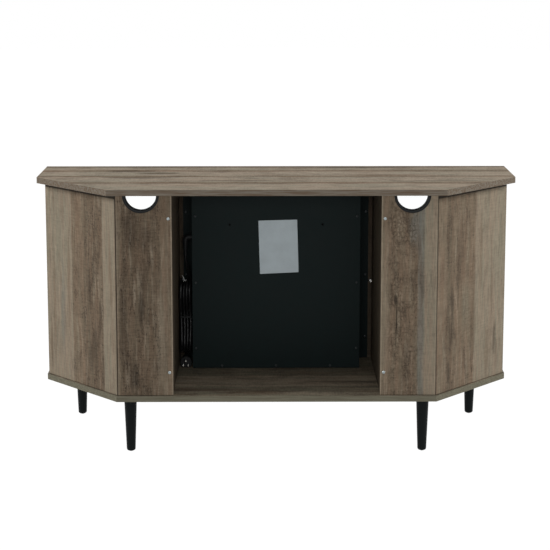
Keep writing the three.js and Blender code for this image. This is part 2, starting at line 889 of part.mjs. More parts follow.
const bezelHalf = stileInnerX - bezelGap;
const bezelLow = railBottomZ + bezelGap - insertZ;
const bezelHigh = railTopZ - bezelGap - insertZ;
const bezelFrontY = frontY - insertY - bezelProud;
const bezelPlateBackY = bezelFrontY + bezelThickness;
const wallHalf = innerCase - fitGap;
const wallLow = bezelLow + bezelWall;
const wallHigh = caseRoof - fitGap;
const webZ = bezelHigh - bezelBand;
const windowLow = bezelLow + bezelFoot;
const windowHigh = webZ - bezelWall;
const bandZ = (webZ + caseRoof) / 2;
const buttonXs = [2, 1, 0].map((step) => bezelHalf - buttonFromSide - step * buttonPitch);
const slotX = slotFromSide + slotLength / 2 - bezelHalf;

function bezel() {
  const plateShape = rectangle(-bezelHalf, bezelHalf, bezelLow, bezelHigh);
  plateShape.holes.push(rectangle(
    bezelSide - bezelHalf,
    bezelHalf - bezelSide,
    windowLow,
    windowHigh - bezelWall,
  ));
  const wallShape = rectangle(-wallHalf, wallHalf, wallLow, wallHigh);
  const t = bezelWall;
  wallShape.holes.push(rectangle(t - wallHalf, wallHalf - t, wallLow + t, wallHigh - t));
  const wallDepth = bezelWallReach - bezelPlateBackY;
  const web = block(
    [-wallHalf, bezelPlateBackY - t / 2, webZ - t],
    [wallHalf, bezelWallReach, webZ],
  );
  const slots = Array.from({ length: slotRows }, (_, row) => {
    const z = bandZ + (row - (slotRows - 1) / 2) * slotPitch;
    return block(
      [slotX - slotLength / 2, bezelFrontY - cutOverrun, z - slotHeight / 2],
      [slotX + slotLength / 2, bezelPlateBackY + cutOverrun, z + slotHeight / 2],
    );
  });
  const holes = buttonXs.map((x) => rod(
    buttonRadius + fitGap,
    [x, bezelFrontY - cutOverrun, bandZ],
    [x, bezelPlateBackY + cutOverrun, bandZ],
    roundSides,
  ));
  const whole = join([
    frontPlate(plateShape, bezelFrontY, bezelThickness),
    frontPlate(wallShape, bezelPlateBackY - t / 2, wallDepth + t / 2),
    web,
  ]);
  return cut(whole, [...slots, ...holes]);
}
add(insert, 'insert_front_frame', bezel(), 'blackPlastic');

const glassHalf = wallHalf - bezelWall - fitGap;
const insertGlass = block(
  [-glassHalf, bezelPlateBackY + fitGap, wallLow + bezelWall + fitGap],
  [glassHalf, bezelPlateBackY + fitGap + paneThickness, webZ - bezelWall - fitGap],
);
add(insert, 'insert_glass', insertGlass, 'glass');

// Push buttons: each mesh stands on its own axis, and is pressed towards +Y

const buttonNames = ['power_button', 'heat_button', 'flame_button'];
const buttonFrontY = bezelFrontY - buttonProud;
const buttonFlangeFront = bezelThickness + buttonProud + fitGap;
const button = rod(buttonRadius, [0, 0, 0], [0, buttonLength, 0], roundSides).add(rod(
  buttonFlangeRadius,
  [0, buttonFlangeFront, 0],
  [0, buttonFlangeFront + buttonFlangeThickness, 0],
  roundSides,
));
buttonNames.forEach((name, index) => {
  add(insert, name, button, 'blackPlastic', [buttonXs[index], buttonFrontY, bandZ]);
});

// The circuit board stands behind the buttons on four posts, with a switch behind each button
const switchFrontY = buttonFrontY + buttonLength + buttonTravel + fitGap;
const circuitFrontY = switchFrontY + switchSize / 2;
const circuitX = buttonXs[1];
function controlBoard() {
  const plate = block(
    [circuitX - boardWidth / 2, circuitFrontY, bandZ - boardHeight / 2],
    [circuitX + boardWidth / 2, circuitFrontY + circuitThickness, bandZ + boardHeight / 2],
  );
  const switches = buttonXs.map((x) => block(
    [x - switchSize / 2, switchFrontY, bandZ - switchSize / 2],
    [x + switchSize / 2, circuitFrontY + circuitThickness / 2, bandZ + switchSize / 2],
  ));
  const posts = [-1, 1].flatMap((sx) => [-1, 1].map((sz) => {
    const x = circuitX + sx * (boardWidth / 2 - standoffInset);
    const z = bandZ + sz * (boardHeight / 2 - standoffInset);
    return rod(
      standoffRadius,
      [x, bezelPlateBackY + fitGap, z],
      [x, circuitFrontY + circuitThickness / 2, z],
      pinSides,
    );
  }));
  return join([plate, ...switches, ...posts]);
}
add(insert, 'control_board', controlBoard(), 'circuit');

// Flame chamber: a screen, the rotor behind it, the ember bed and the logs before it

const screenHalf = innerCase - fitGap;
add(insert, 'flame_screen', block(
  [-screenHalf, screenY, caseFloor + fitGap],
  [screenHalf, screenY + screenThickness, chamberRoof - fitGap],
), 'smokedScreen');

// The rotor's shaft runs in the motor at one end and in a bearing plate at the other
function flameRotor() {
  const vanes = Array.from({ length: rotorVanes }, (_, index) => {
    const pitch = (2 * rotorHalf - 2 * vaneWidth) / (rotorVanes - 1);
    const x = vaneWidth - rotorHalf + index * pitch;
    const vane = block(
      [-vaneWidth / 2, -vaneThickness / 2, -vaneLength / 2],
      [vaneWidth / 2, vaneThickness / 2, vaneLength / 2],
    );
    return vane.rotate([index * rotorTurnPerVane, 0, 0]).translate([x, 0, 0]);
  });
  const shaftEnd = rotorHalf + bearingThickness;
  const shaft = rod(rotorShaftRadius, [-shaftEnd, 0, 0], [shaftEnd, 0, 0], pinSides);
  return join([shaft, ...vanes]);
}
add(insert, 'flame_rotor', flameRotor(), 'steel', [0, rotorSetback, rotorZ]);

function rotorMotor() {
  const can = rod(motorRadius, [-innerCase + fitGap, 0, 0], [motorDepth - innerCase, 0, 0], roundSides);
  const nose = rod(
    bearingRadius,
    [motorDepth - innerCase - bearingThickness, 0, 0],
    [-rotorHalf - fitGap, 0, 0],
  );
  const bore = rod(
    rotorShaftRadius + fitGap,
    [-rotorHalf - 2 * bearingThickness, 0, 0],
    [-rotorHalf + bearingThickness, 0, 0],
  );
  return cut(join([can, nose]), [bore]);
}
add(insert, 'rotor_motor', rotorMotor(), 'steel', [0, rotorSetback, rotorZ]);

const emberFrontY = bezelWallReach + fitGap * 2;
const emberHalf = innerCase - bezelWall;
function emberBed() {
  const tray = block(
    [-emberHalf, emberFrontY, caseFloor + fitGap],
    [emberHalf, emberFrontY + emberDepth - bezelWall, caseFloor + emberHeight],
  );
  const lumps = Array.from({ length: emberLumps }, (_, index) => {
    const radius = lumpRadii[index % lumpRadii.length];
    const geometry = new THREE.SphereGeometry(radius, pinSides, pinSides / 2);
    const pitch = (2 * (emberHalf - emberHeight)) / (emberLumps - 1);
    const placeShare = lumpPlaceShares[index % lumpPlaceShares.length];
    geometry.translate(
      (index - (emberLumps - 1) / 2) * pitch,
      emberFrontY + emberDepth * placeShare,
      caseFloor + emberHeight,
    );
    return solidOf(geometry);
  });
  return join([tray, ...lumps]);
}
add(insert, 'ember_bed', emberBed(), 'ember');

// Each log: x and y of both ends, its height above the bed and its radius, as shares
const logShares = [
  { from: [-0.78, 0.5], to: [0.1, 0.62], rise: [0.1, 0.14], thickness: 1 },
  { from: [-0.02, 0.4], to: [0.8, 0.58], rise: [0.12, 0.08], thickness: 0.95 },
  { from: [-0.52, 0.36], to: [-0.02, 0.66], rise: [0.32, 0.58], thickness: 0.72 },
  { from: [0.56, 0.38], to: [0.06, 0.66], rise: [0.3, 0.62], thickness: 0.68 },
];
const logRadius = 13;
const logPile = 60;
const logTaperShare = 0.85;
const logBaseZ = caseFloor + emberHeight + lumpRadii[0];

function logSet() {
  return join(logShares.map(({ from, to, rise, thickness }) => rod(
    logRadius * thickness,
    [from[0] * emberHalf, emberFrontY + from[1] * emberDepth, logBaseZ + rise[0] * logPile],
    [to[0] * emberHalf, emberFrontY + to[1] * emberDepth, logBaseZ + rise[1] * logPile],
    smallSides,
    logRadius * thickness * logTaperShare,
  )));
}
add(insert, 'log_set', cut(logSet(), [emberBed().translate([0, 0, fitGap])]), 'log');

// Heater: a blower wheel in its housing, and the element before it

const wheelZ = caseRoof - wheelDrop;
const wheelHalf = wheelLength / 2;
const shaftHalf = wheelHalf + fitGap + housingWall;
function blowerWheel() {
  const discs = [-1, 0, 1].map((step) => {
    const x = step * (wheelHalf - housingWall / 2);
    return rod(wheelRadius, [x - housingWall / 2, 0, 0], [x + housingWall / 2, 0, 0], wheelBlades);
  });
  const blades = Array.from({ length: wheelBlades }, (_, index) => {
    const blade = block(
      [-wheelHalf + housingWall / 2, -vaneThickness / 2, wheelRadius * bladeInnerShare],
      [wheelHalf - housingWall / 2, vaneThickness / 2, wheelRadius * bladeOuterShare],
    );
    return blade.rotate([(index * fullTurn) / wheelBlades, 0, 0]);
  });
  const shaft = rod(wheelShaftRadius, [-shaftHalf, 0, 0], [shaftHalf, 0, 0], pinSides);
  return join([shaft, ...discs, ...blades]);
}
add(insert, 'blower_wheel', blowerWheel(), 'steel', [blowerX, wheelSetback, wheelZ]);

// The housing hangs from the casing's roof: a roof plate, a rear wall, end plates and the motor
function blowerHousing() {
  const half = wheelHalf + fitGap;
  const outerRadius = wheelRadius + housingGap;
  const top = caseRoof - fitGap - wheelZ;
  const low = chamberRoofTop + fitGap - wheelZ;
  const ends = [-1, 1].map((sx) => {
    const x = [sx * half, sx * (half + housingWall)].sort((a, b) => a - b);
    return block([x[0], -outerRadius, low], [x[1], outerRadius + housingWall, top]);
  });
  const roof = block(
    [-half - housingWall, -outerRadius, top - housingWall],
    [half + housingWall, outerRadius + housingWall, top],
  );
  const rear = block(
    [-half - housingWall, outerRadius, low],
    [half + housingWall, outerRadius + housingWall, top],
  );
  const motor = rod(
    blowerMotorRadius,
    [-half - housingWall - blowerMotorLength, 0, 0],
    [-half - housingWall / 2, 0, 0],
    roundSides,
  );
  const bore = rod(
    wheelShaftRadius + fitGap,
    [-half - 2 * housingWall, 0, 0],
    [half + 2 * housingWall, 0, 0],
  );
  return cut(join([...ends, roof, rear, motor]), [bore]);
}
add(insert, 'blower_housing', blowerHousing(), 'blackPaint', [blowerX, wheelSetback, wheelZ]);

function heaterElement() {
  const half = wheelHalf;
  const low = chamberRoofTop + fitGap;
  const frame = rectangle(-half, half, low, low + heaterHeight);
  const wall = heaterWall;
  frame.holes.push(rectangle(wall - half, half - wall, low + wall, low + heaterHeight - wall));
  const fins = Array.from({ length: heaterFins }, (_, index) => {
    const x = -half + ((index + 1) * wheelLength) / (heaterFins + 1);
    return block(
      [x - heaterFinThickness / 2, 0, low + wall / 2],
      [x + heaterFinThickness / 2, heaterDepth, low + heaterHeight - wall / 2],
    );
  });
  return join([frontPlate(frame, 0, heaterDepth), ...fins]);
}
add(insert, 'heater_element', heaterElement(), 'ceramic', [blowerX, heaterSetback, 0]);

// Power cord: a moulded boot on the casing, a free lead, the tied hank, a tail and the plug

const cordRadius = cordDiameter / 2;
const gapX = (halfCase + dividerInnerX) / 2;
const bootZ = insertZ + wallHoleZ;
const bootEndZ = bootZ - bootLength;
function cordBoot() {
  const y = insertY + bootBack;
  const wallX = halfCase + fitGap;
  const corner = new THREE.SphereGeometry(bootRadius, smallSides, pinSides);
  corner.translate(gapX, y, bootZ);
  return join([
    rod(
      bootNeckRadius,
      [innerCase - bootFlangeThickness, y, bootZ],
      [wallX + bootFlangeThickness, y, bootZ],
    ),
    rod(bootFlangeRadius, [wallX, y, bootZ], [wallX + bootFlangeThickness, y, bootZ], roundSides),
    rod(bootRadius, [wallX, y, bootZ], [gapX, y, bootZ]),
    solidOf(corner),
    rod(bootRadius, [gapX, y, bootZ], [gapX, y, bootEndZ], smallSides, bootEndRadius),
  ]);
}
add(stand, 'cord_boot', cordBoot(), 'blackPlastic');

// The plug lies on the bottom board with its prongs towards the back
const plugZ = bottomTopZ + fitGap + plugWidth / 2;
const plugFaceY = insertY + plugBack;
const plugBackY = plugFaceY - plugLength;
const plugEndY = plugBackY - plugReliefLength;

// The hank stands on the plug; its runs are upright and its layers lie side by side along X
const foldOuter = foldRadius + foldPitch;
const hankY = insertY + hankBack;
const hankBaseZ = plugZ + plugWidth / 2 + hankLift;
const lowFoldZ = hankBaseZ + cordRadius + foldOuter;
const highFoldZ = lowFoldZ + hankRun;
const firstLayerX = gapX - ((hankLayers - 1) / 2) * layerPitch;

const stepsPerTurn = 2 * (foldSteps + runSteps);

// One point of the winding: each turn runs down the front, round the low fold, up and over
function hankPoint(turn, step) {
  const layer = Math.floor(turn);
  const share = step / stepsPerTurn;
  const inward = layer % 2 === 0 ? share : 1 - share;
  const radius = foldOuter - foldPitch * inward;
  const climb = layer > 0 && step < runSteps ? step / runSteps - 1 : 0;
  const x = firstLayerX + (layer + climb) * layerPitch;
  if (step < runSteps) {
    const down = step / runSteps;
    const drawn = waistDraw * Math.sin(Math.PI * down) ** 2;
    return [x, hankY - radius + drawn, highFoldZ - down * hankRun];
  }
  if (step < runSteps + foldSteps) {
    const angle = (Math.PI * (step - runSteps)) / foldSteps;
    return [x, hankY - radius * Math.cos(angle), lowFoldZ - radius * Math.sin(angle)];
  }
  if (step < 2 * runSteps + foldSteps) {
    const up = (step - runSteps - foldSteps) / runSteps;
    const drawn = waistDraw * Math.sin(Math.PI * up) ** 2;
    return [x, hankY + radius - drawn, lowFoldZ + up * hankRun];
  }
  const angle = (Math.PI * (step - 2 * runSteps - foldSteps)) / foldSteps;
  return [x, hankY + radius * Math.cos(angle), highFoldZ + radius * Math.sin(angle)];
}

function hankRoute() {
  const points = [[firstLayerX, hankY - foldOuter, highFoldZ + cordDiameter]];
  for (let turn = 0; turn < hankLayers; turn += 1) {
    for (let step = 0; step < stepsPerTurn; step += 1) points.push(hankPoint(turn, step));
  }
  const lastX = firstLayerX + (hankLayers - 1) * layerPitch;
  points.push([lastX, hankY - foldOuter, highFoldZ]);
  points.push([lastX, hankY - foldOuter, highFoldZ - cordDiameter]);
  return points.map((point) => new THREE.Vector3(...point));
}

// A tube of rings along points; each ring lies across the bisector of its two legs
function tubeAlong(points, radius, ringSides) {
  const positions = [];
  const triangles = [];
  let normal = new THREE.Vector3(1, 0, 0);
  points.forEach((point, index) => {
    const before = points[Math.max(index - 1, 0)];
    const after = points[Math.min(index + 1, points.length - 1)];
    const tangent = after.clone().sub(before).normalize();
    normal = normal.clone().sub(tangent.clone().multiplyScalar(normal.dot(tangent))).normalize();
    const binormal = tangent.clone().cross(normal);
    for (let corner = 0; corner < ringSides; corner += 1) {
      const angle = (corner / ringSides) * 2 * Math.PI;
      const spoke = normal.clone().multiplyScalar(Math.cos(angle) * radius);
      spoke.add(binormal.clone().multiplyScalar(Math.sin(angle) * radius));
      positions.push(point.x + spoke.x, point.y + spoke.y, point.z + spoke.z);
    }
  });
  for (let ring = 0; ring < points.length - 1; ring += 1) {
    for (let corner = 0; corner < ringSides; corner += 1) {
      const a = ring * ringSides + corner;
      const b = ring * ringSides + ((corner + 1) % ringSides);
      triangles.push(a, b, b + ringSides, a, b + ringSides, a + ringSides);
    }
  }
  const last = (points.length - 1) * ringSides;
  for (let corner = 1; corner < ringSides - 1; corner += 1) {
    triangles.push(0, corner + 1, corner, last, last + corner, last + corner + 1);
  }
  const geometry = new THREE.BufferGeometry();
  geometry.setAttribute('position', new THREE.BufferAttribute(new Float32Array(positions), 3));
  geometry.setIndex(triangles);
  return geometry;
}

// The least distance between parts of the winding that lie apart along it, less the diameter
function leastGap(points) {
  const fine = [];
  const parts = 4;
  for (let index = 0; index < points.length - 1; index += 1) {
    for (let part = 0; part < parts; part += 1) {
      fine.push(points[index].clone().lerp(points[index + 1], part / parts));
    }
  }
  let least = Infinity;
  const apart = 4 * parts;
  for (let first = 0; first < fine.length; first += 1) {
    for (let second = first + apart; second < fine.length; second += 1) {
      least = Math.min(least, fine[first].distanceTo(fine[second]));
    }
  }
  return least - cordDiameter;
}

const hankPoints = hankRoute();
const hankLength = hankPoints.slice(1).reduce(
  (sum, point, index) => sum + point.distanceTo(hankPoints[index]),
  0,
);
console.log(`hank: ${hankLength.toFixed(0)} mm, least gap ${leastGap(hankPoints).toFixed(2)} mm`);
add(stand, 'cord_hank', solidOf(tubeAlong(hankPoints, cordRadius, hankSides)), 'blackPlastic');

// A free stretch of cord along hand-set points of [x from the gap's middle, y from the flange, z]
function freeCord(name, points) {
  const path = new THREE.CatmullRomCurve3(points.map(([x, y, z]) => (
    new THREE.Vector3(gapX + x, insertY + y, z)
  )));
  const section = new THREE.Shape();
  section.absarc(0, 0, cordRadius, 0, 2 * Math.PI, false);
  const length = path.getLength();
  console.log(`${name}: ${length.toFixed(0)} mm`);
  const geometry = new THREE.ExtrudeGeometry(section, {
    steps: Math.ceil(length / cordStep),
    curveSegments: cordSides / 2,
    extrudePath: path,
  });
  add(stand, name, solidOf(geometry), 'blackPlastic');
}

const leadRoute = [
  [0, 69.7, 454.7],
  [0, 69.7, 447],
  [-1.15, 66.5, 431],
  [-4.95, 57.7, 411],
  [-9.35, 47.7, 390],
  [-11.55, 42.5, 375],
  [-11.7, 41.7, 368],
  [-11.7, 41.7, 362.6],
];
const tailRoute = [
  [11.7, 41.7, 348],
  [11.7, 41.7, 341],
  [11.15, 40.1, 327],
  [9.45, 33.7, 302],
  [6.45, 24.7, 274],
  [3.25, 18.1, 247],
  [0.85, 15.1, 224],
  [0, 14.7, 206],
  [0, 15.3, 191],
  [0, 20.2, 178.5],
  [0, 29.2, 169.6],
  [0, 40.2, 166.4],
  [0, 45.1, 166.3],
];
freeCord('cord_lead', leadRoute);
freeCord('cord_tail', tailRoute);

// The tie: a band round the waist, with rounded corners and a twisted end
function cordTie() {
  const frontShare = runSteps / 2 / stepsPerTurn;
  const rearShare = (runSteps / 2 + foldSteps) / stepsPerTurn;
  const frontHalf = foldOuter - foldPitch * frontShare - waistDraw + cordRadius;
  const rearHalf = foldOuter - foldPitch * rearShare - waistDraw + cordRadius;
  const halfX = gapX - firstLayerX + cordRadius + fitGap;
  const halfY = (frontHalf + rearHalf) / 2 + fitGap;
  const tieY = hankY + (rearHalf - frontHalf) / 2;
  const loop = (grow) => {
    const shape = new THREE.Shape();
    const x = halfX + grow;
    const y = halfY + grow;
    const r = cordRadius + grow;
    shape.moveTo(-x + r, -y);
    shape.lineTo(x - r, -y);
    shape.absarc(x - r, -y + r, r, -Math.PI / 2, 0, false);
    shape.lineTo(x, y - r);
    shape.absarc(x - r, y - r, r, 0, Math.PI / 2, false);
    shape.lineTo(-x + r, y);
    shape.absarc(-x + r, y - r, r, Math.PI / 2, Math.PI, false);
    shape.lineTo(-x, -y + r);
    shape.absarc(-x + r, -y + r, r, Math.PI, 1.5 * Math.PI, false);
    return shape;
  };
  const ring = loop(tieThickness);
  ring.holes.push(loop(0));
  const geometry = new THREE.ExtrudeGeometry(ring, {
    depth: tieWidth,
    bevelEnabled: false,
    curveSegments: pinSides / 2,
  });
  const midZ = (lowFoldZ + highFoldZ) / 2;
  geometry.translate(gapX, tieY, midZ - tieWidth / 2);
  const twistY = tieY + halfY + tieThickness / 2;
  const twistEnd = [gapX + halfX / 2, twistY + tieWidth, midZ + tieWidth];
  const twist = rod(tieThickness, [gapX, twistY, midZ], twistEnd, pinSides);
  return solidOf(geometry).add(twist);
}
add(stand, 'cord_tie', cordTie(), 'blackPlastic');

// The plug's body and relief, and its three prongs
function powerPlug() {
  const half = plugWidth / 2;
  const r = plugRound;
  const face = new THREE.Shape();
  face.moveTo(r - half, -half);
  face.lineTo(half - r, -half);
  face.absarc(half - r, r - half, r, -Math.PI / 2, 0, false);
  face.absarc(0, 0, half, 0, Math.PI, false);
  face.absarc(r - half, r - half, r, Math.PI, 1.5 * Math.PI, false);
  const body = frontPlate(face, plugBackY, plugLength, pinSides / 2).translate([gapX, 0, plugZ]);
  const relief = rod(
    cordRadius + plugReliefWall,
    [gapX, plugEndY, plugZ],
    [gapX, plugBackY + plugReliefWall, plugZ],
    smallSides,
    plugReliefRadius,
  );
  const prongFrontY = plugFaceY - fitGap;
  const prongEndY = prongFrontY + bladeLength;
  const bladeZ = plugZ - groundOffset / 2;
  const blades = [-1, 1].map((sx) => {
    const x = gapX + (sx * bladeSpacing) / 2;
    return block(
      [x - bladeThickness / 2, prongFrontY, bladeZ - bladeWidth / 2],
      [x + bladeThickness / 2, prongEndY, bladeZ + bladeWidth / 2],
    );
  });
  const groundZ = plugZ + groundOffset / 2;
  const ground = rod(
    groundRadius,
    [gapX, prongFrontY, groundZ],
    [gapX, prongEndY + groundExtra, groundZ],
    pinSides,
  );
  return join([body, relief, ...blades, ground]);
}
add(stand, 'power_plug', powerPlug(), 'blackPlastic');

export default stand;
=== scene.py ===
from math import cos, pi, radians, sin, sqrt

import bmesh
import bpy
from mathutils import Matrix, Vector, noise


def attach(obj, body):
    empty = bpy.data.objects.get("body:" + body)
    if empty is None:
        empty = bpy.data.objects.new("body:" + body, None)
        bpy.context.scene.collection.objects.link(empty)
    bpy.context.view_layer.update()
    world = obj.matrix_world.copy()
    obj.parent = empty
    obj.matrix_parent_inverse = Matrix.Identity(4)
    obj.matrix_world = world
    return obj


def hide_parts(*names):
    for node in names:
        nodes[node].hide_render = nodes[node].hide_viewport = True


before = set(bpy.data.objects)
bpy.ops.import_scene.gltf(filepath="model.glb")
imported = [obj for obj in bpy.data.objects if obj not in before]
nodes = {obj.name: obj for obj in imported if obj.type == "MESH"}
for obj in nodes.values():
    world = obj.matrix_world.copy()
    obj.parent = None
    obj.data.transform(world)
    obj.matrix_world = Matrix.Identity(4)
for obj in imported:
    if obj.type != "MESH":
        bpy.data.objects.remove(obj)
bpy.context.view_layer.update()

scene = bpy.context.scene
print("frame loaded:", len(nodes), "nodes")

# The camera stands behind the stand and looks down at it a little
photoView = {
    "place": (0.02458, 3.77959, 1.26912),
    "turn": pi - 0.00569,
    "tilt": -0.14901,
    "lens": 98.316,
    "sensor": 36,
    "shiftUp": -0.2,
    "reach": 100,
}


def addObject(name, data, at=(0, 0, 0), turn=(0, 0, 0)):
    made = bpy.data.objects.new(name, data)
    made.location = at
    made.rotation_euler = turn
    scene.collection.objects.link(made)
    return made


def placeCamera(view):
    lensData = bpy.data.cameras.new("photoCamera")
    lensData.lens = view["lens"]
    lensData.sensor_width = view["sensor"]
    lensData.sensor_fit = "HORIZONTAL"
    lensData.shift_y = view["shiftUp"]
    lensData.clip_end = view["reach"]
    turn = (pi / 2 + view["tilt"], 0, view["turn"])
    scene.camera = addObject("photoCamera", lensData, view["place"], turn)


placeCamera(photoView)
scene.view_settings.view_transform = "Standard"


# A socket of a node tree; sums and products of signals add Math nodes
class Signal:
    def __init__(self, sheet, socket):
        self.sheet = sheet
        self.socket = socket

    def calc(self, operation, *values):
        return self.sheet.node("Math", {"operation": operation}, dict(enumerate(values)))

    def __add__(self, other):
        return self.calc("ADD", self, other)

    def __sub__(self, other):
        return self.calc("SUBTRACT", self, other)

    def __rsub__(self, other):
        return self.calc("SUBTRACT", other, self)

    def __mul__(self, other):
        return self.calc("MULTIPLY", self, other)

    def __truediv__(self, other):
        return self.calc("DIVIDE", self, other)

    def __pow__(self, other):
        return self.calc("POWER", self, other)

    __radd__ = __add__
    __rmul__ = __mul__


# A node tree with a few helpers that return signals
class Sheet:
    def __init__(self, tree):
        self.tree = tree
        tree.nodes.clear()

    def node(self, kind, settings=None, sockets=None, output=0):
        made = self.tree.nodes.new("ShaderNode" + kind)
        for key, value in (settings or {}).items():
            if key == "colour":
                made.outputs[0].default_value = value
            elif key == "stops":
                ramp = made.color_ramp
                while len(ramp.elements) < len(value):
                    ramp.elements.new(0.5)
                for element, (place, colour) in zip(ramp.elements, value):
                    element.position = place
                    element.color = colour
            else:
                setattr(made, key, value)
        for key, value in (sockets or {}).items():
            if isinstance(value, Signal):
                self.tree.links.new(value.socket, made.inputs[key])
            else:
                made.inputs[key].default_value = value
        return Signal(self, made.outputs[output]) if len(made.outputs) else None

    def position(self, kind="Object"):
        place = self.node("TexCoord", output=kind)
        return [self.node("SeparateXYZ", sockets={0: place}, output=axis) for axis in range(3)]

    def fade(self, value, low, high):
        return self.node("MapRange", {"interpolation_type": "SMOOTHSTEP"},
                         {"Value": value, "From Min": low, "From Max": high})

    def noise(self, place, sizes, detail=2, roughness=0.5, seed=0):
        x, y, z = [axis / size for axis, size in zip(place, sizes)]
        vector = self.node("CombineXYZ", sockets={0: x, 1: y, 2: z + seed})
        return self.node("TexNoise", {"noise_dimensions": "3D"},
                         {"Vector": vector, "Scale": 1, "Detail": detail, "Roughness": roughness})

    def mix(self, share, first, second):
        return self.node("Mix", {"data_type": "RGBA"}, {0: share, 6: first, 7: second}, output=2)

    def scaled(self, colour, value):
        return self.node("VectorMath", {"operation": "SCALE"}, {0: colour, "Scale": value})

    def bump(self, height, distance):
        return self.node("Bump", sockets={"Height": height, "Distance": distance, "Strength": 1})

    def surface(self, kind, sockets):
        self.node("OutputMaterial", sockets={"Surface": self.node(kind, sockets=sockets)})


def tone(red, green, blue, gain=1):
    shares = [channel / 255 for channel in (red, green, blue)]
    return (*[gain * (share / 12.92 if share <= 0.04045 else ((share + 0.055) / 1.055) ** 2.4)
              for share in shares], 1)


def newFinish(name):
    material = bpy.data.materials.new(name)
    material.use_nodes = True
    return material, Sheet(material.node_tree)


# Stage: white to the camera and in reflections, with the stand's shadow on the floor
white = (1, 1, 1, 1)
stage = {
    "floorRadius": 14,
    "floorColour": (0.62, 0.62, 0.62, 1),
    "whiteShare": 0.92,
    "whiteStrength": 1.09,
    "skyLight": 0.15,
}


def seenRays(sheet):
    rays = [sheet.node("LightPath", output=kind)
            for kind in ("Is Camera Ray", "Is Glossy Ray", "Is Transmission Ray")]
    return rays[0].calc("MINIMUM", rays[0] + rays[1] + rays[2], 1)


def makeStage(look):
    world = bpy.data.worlds.new("studioSky")
    world.use_nodes = True
    scene.world = world
    sheet = Sheet(world.node_tree)
    lit, seen = [sheet.node("Background", sockets={"Color": white, "Strength": strength})
                 for strength in (look["skyLight"], 1)]
    both = sheet.node("MixShader", sockets={0: seenRays(sheet), 1: lit, 2: seen})
    sheet.node("OutputWorld", sockets={"Surface": both})

    mesh = bpy.data.meshes.new("floor")
    form = bmesh.new()
    bmesh.ops.create_circle(form, cap_ends=True, radius=look["floorRadius"], segments=96)
    form.to_mesh(mesh)
    form.free()
    floor = addObject("floor", mesh)
    material, sheet = newFinish("paleFloor")
    plain = sheet.node("BsdfDiffuse", sockets={"Color": look["floorColour"]})
    glow = sheet.node("Emission", sockets={"Color": white, "Strength": look["whiteStrength"]})
    sheet.surface("MixShader", {0: seenRays(sheet) * look["whiteShare"], 1: plain, 2: glow})
    mesh.materials.append(material)


makeStage(stage)

# Soft boxes: [place, aimed at, width, height, watts]
lamps = {
    "overhead": [(0, 0.8, 3.4), (0, 0.1, 0.4), 1.4, 1.6, 12],
    "sideLeft": [(3.2, 0.36, 2.1), (0.4, 0, 0.4), 0.8, 0.8, 60],
    "sideRight": [(-3.2, 0.36, 2.1), (-0.4, 0, 0.4), 0.8, 0.8, 64],
    "rear": [(0, 4.3, 1.4), (0, 0, 0.4), 1.6, 1, 46],
    "front": [(0.4, -3.2, 1.6), (0, 0, 0.4), 2, 1.6, 46],
}
for name, (start, target, width, height, power) in lamps.items():
    data = bpy.data.lights.new(name, "AREA")
    data.shape = "RECTANGLE"
    data.size = width
    data.size_y = height
    data.energy = power
    addObject(name, data, start, (Vector(target) - Vector(start)).to_track_quat("-Z", "Y").to_euler())
print("camera, stage and lamps placed")

# Plain finishes of the metal, plastic, rubber and glass pieces: colour, roughness, metal, gloss, the size and
# depth of the grain, and how strong the clouds are
plainLooks = {
    "blackCoat": ((0.004, 0.0086, 0.0086, 1), 0.55, 0, 0.09, 0.0007, 0.00003, 0.25),
    "blackLacquer": ((0.0045, 0.0062, 0.0063, 1), 0.5, 0, 0.08, 0.0012, 0.00001, 0.15),
    "blackMoulding": ((0.009, 0.0095, 0.01, 1), 0.5, 0, 0.14, 0.0004, 0.00002, 0.15),
    "cordSheath": ((0.007, 0.007, 0.0075, 1), 0.34, 0, 0.22, 0.008, 0.0016, 0.2),
    "zincPlate": ((0.3, 0.335, 0.34, 1), 0.32, 1, 0.5, 0.0011, 0.00001, 0.18),
    "nickel": ((0.5, 0.49, 0.47, 1), 0.26, 1, 0.5, 0.0005, 0.000005, 0.08),
    "blackScrew": ((0.02, 0.024, 0.025, 1), 0.5, 0.6, 0.5, 0.0008, 0.00001, 0.2),
    "darkScrew": ((0.05, 0.055, 0.058, 1), 0.35, 1, 0.5, 0.0008, 0.00001, 0.2),
    "brassBlade": ((0.8, 0.78, 0.72, 1), 0.35, 1, 0.5, 0.0009, 0.000005, 0.1),
    "heaterFin": ((0.16, 0.16, 0.165, 1), 0.5, 1, 0.5, 0.0012, 0.00004, 0.2),
    "rotorFoil": ((0.72, 0.73, 0.74, 1), 0.2, 1, 0.5, 0.003, 0.00008, 0.15),
    "heaterCeramic": ((0.11, 0.1, 0.09, 1), 0.75, 0, 0.3, 0.0009, 0.00006, 0.25),
    "circuitGreen": ((0.015, 0.09, 0.035, 1), 0.35, 0, 0.4, 0.002, 0.00002, 0.3),
    "foilPlate": ((0.52, 0.59, 0.62, 1), 0.5, 0, 0.2, 0.0016, 0.00001, 0.12),
    "paleSleeve": ((0.82, 0.84, 0.82, 1), 0.4, 0, 0.4, 0.0006, 0.00001, 0.1),
    "smokedSheet": ((0.016, 0.013, 0.012, 1), 0.3, 0, 0.1, 0.004, 0.00001, 0.3),
}
cloudSize, cloudRough = 0.03, 0.14
finishes = {}


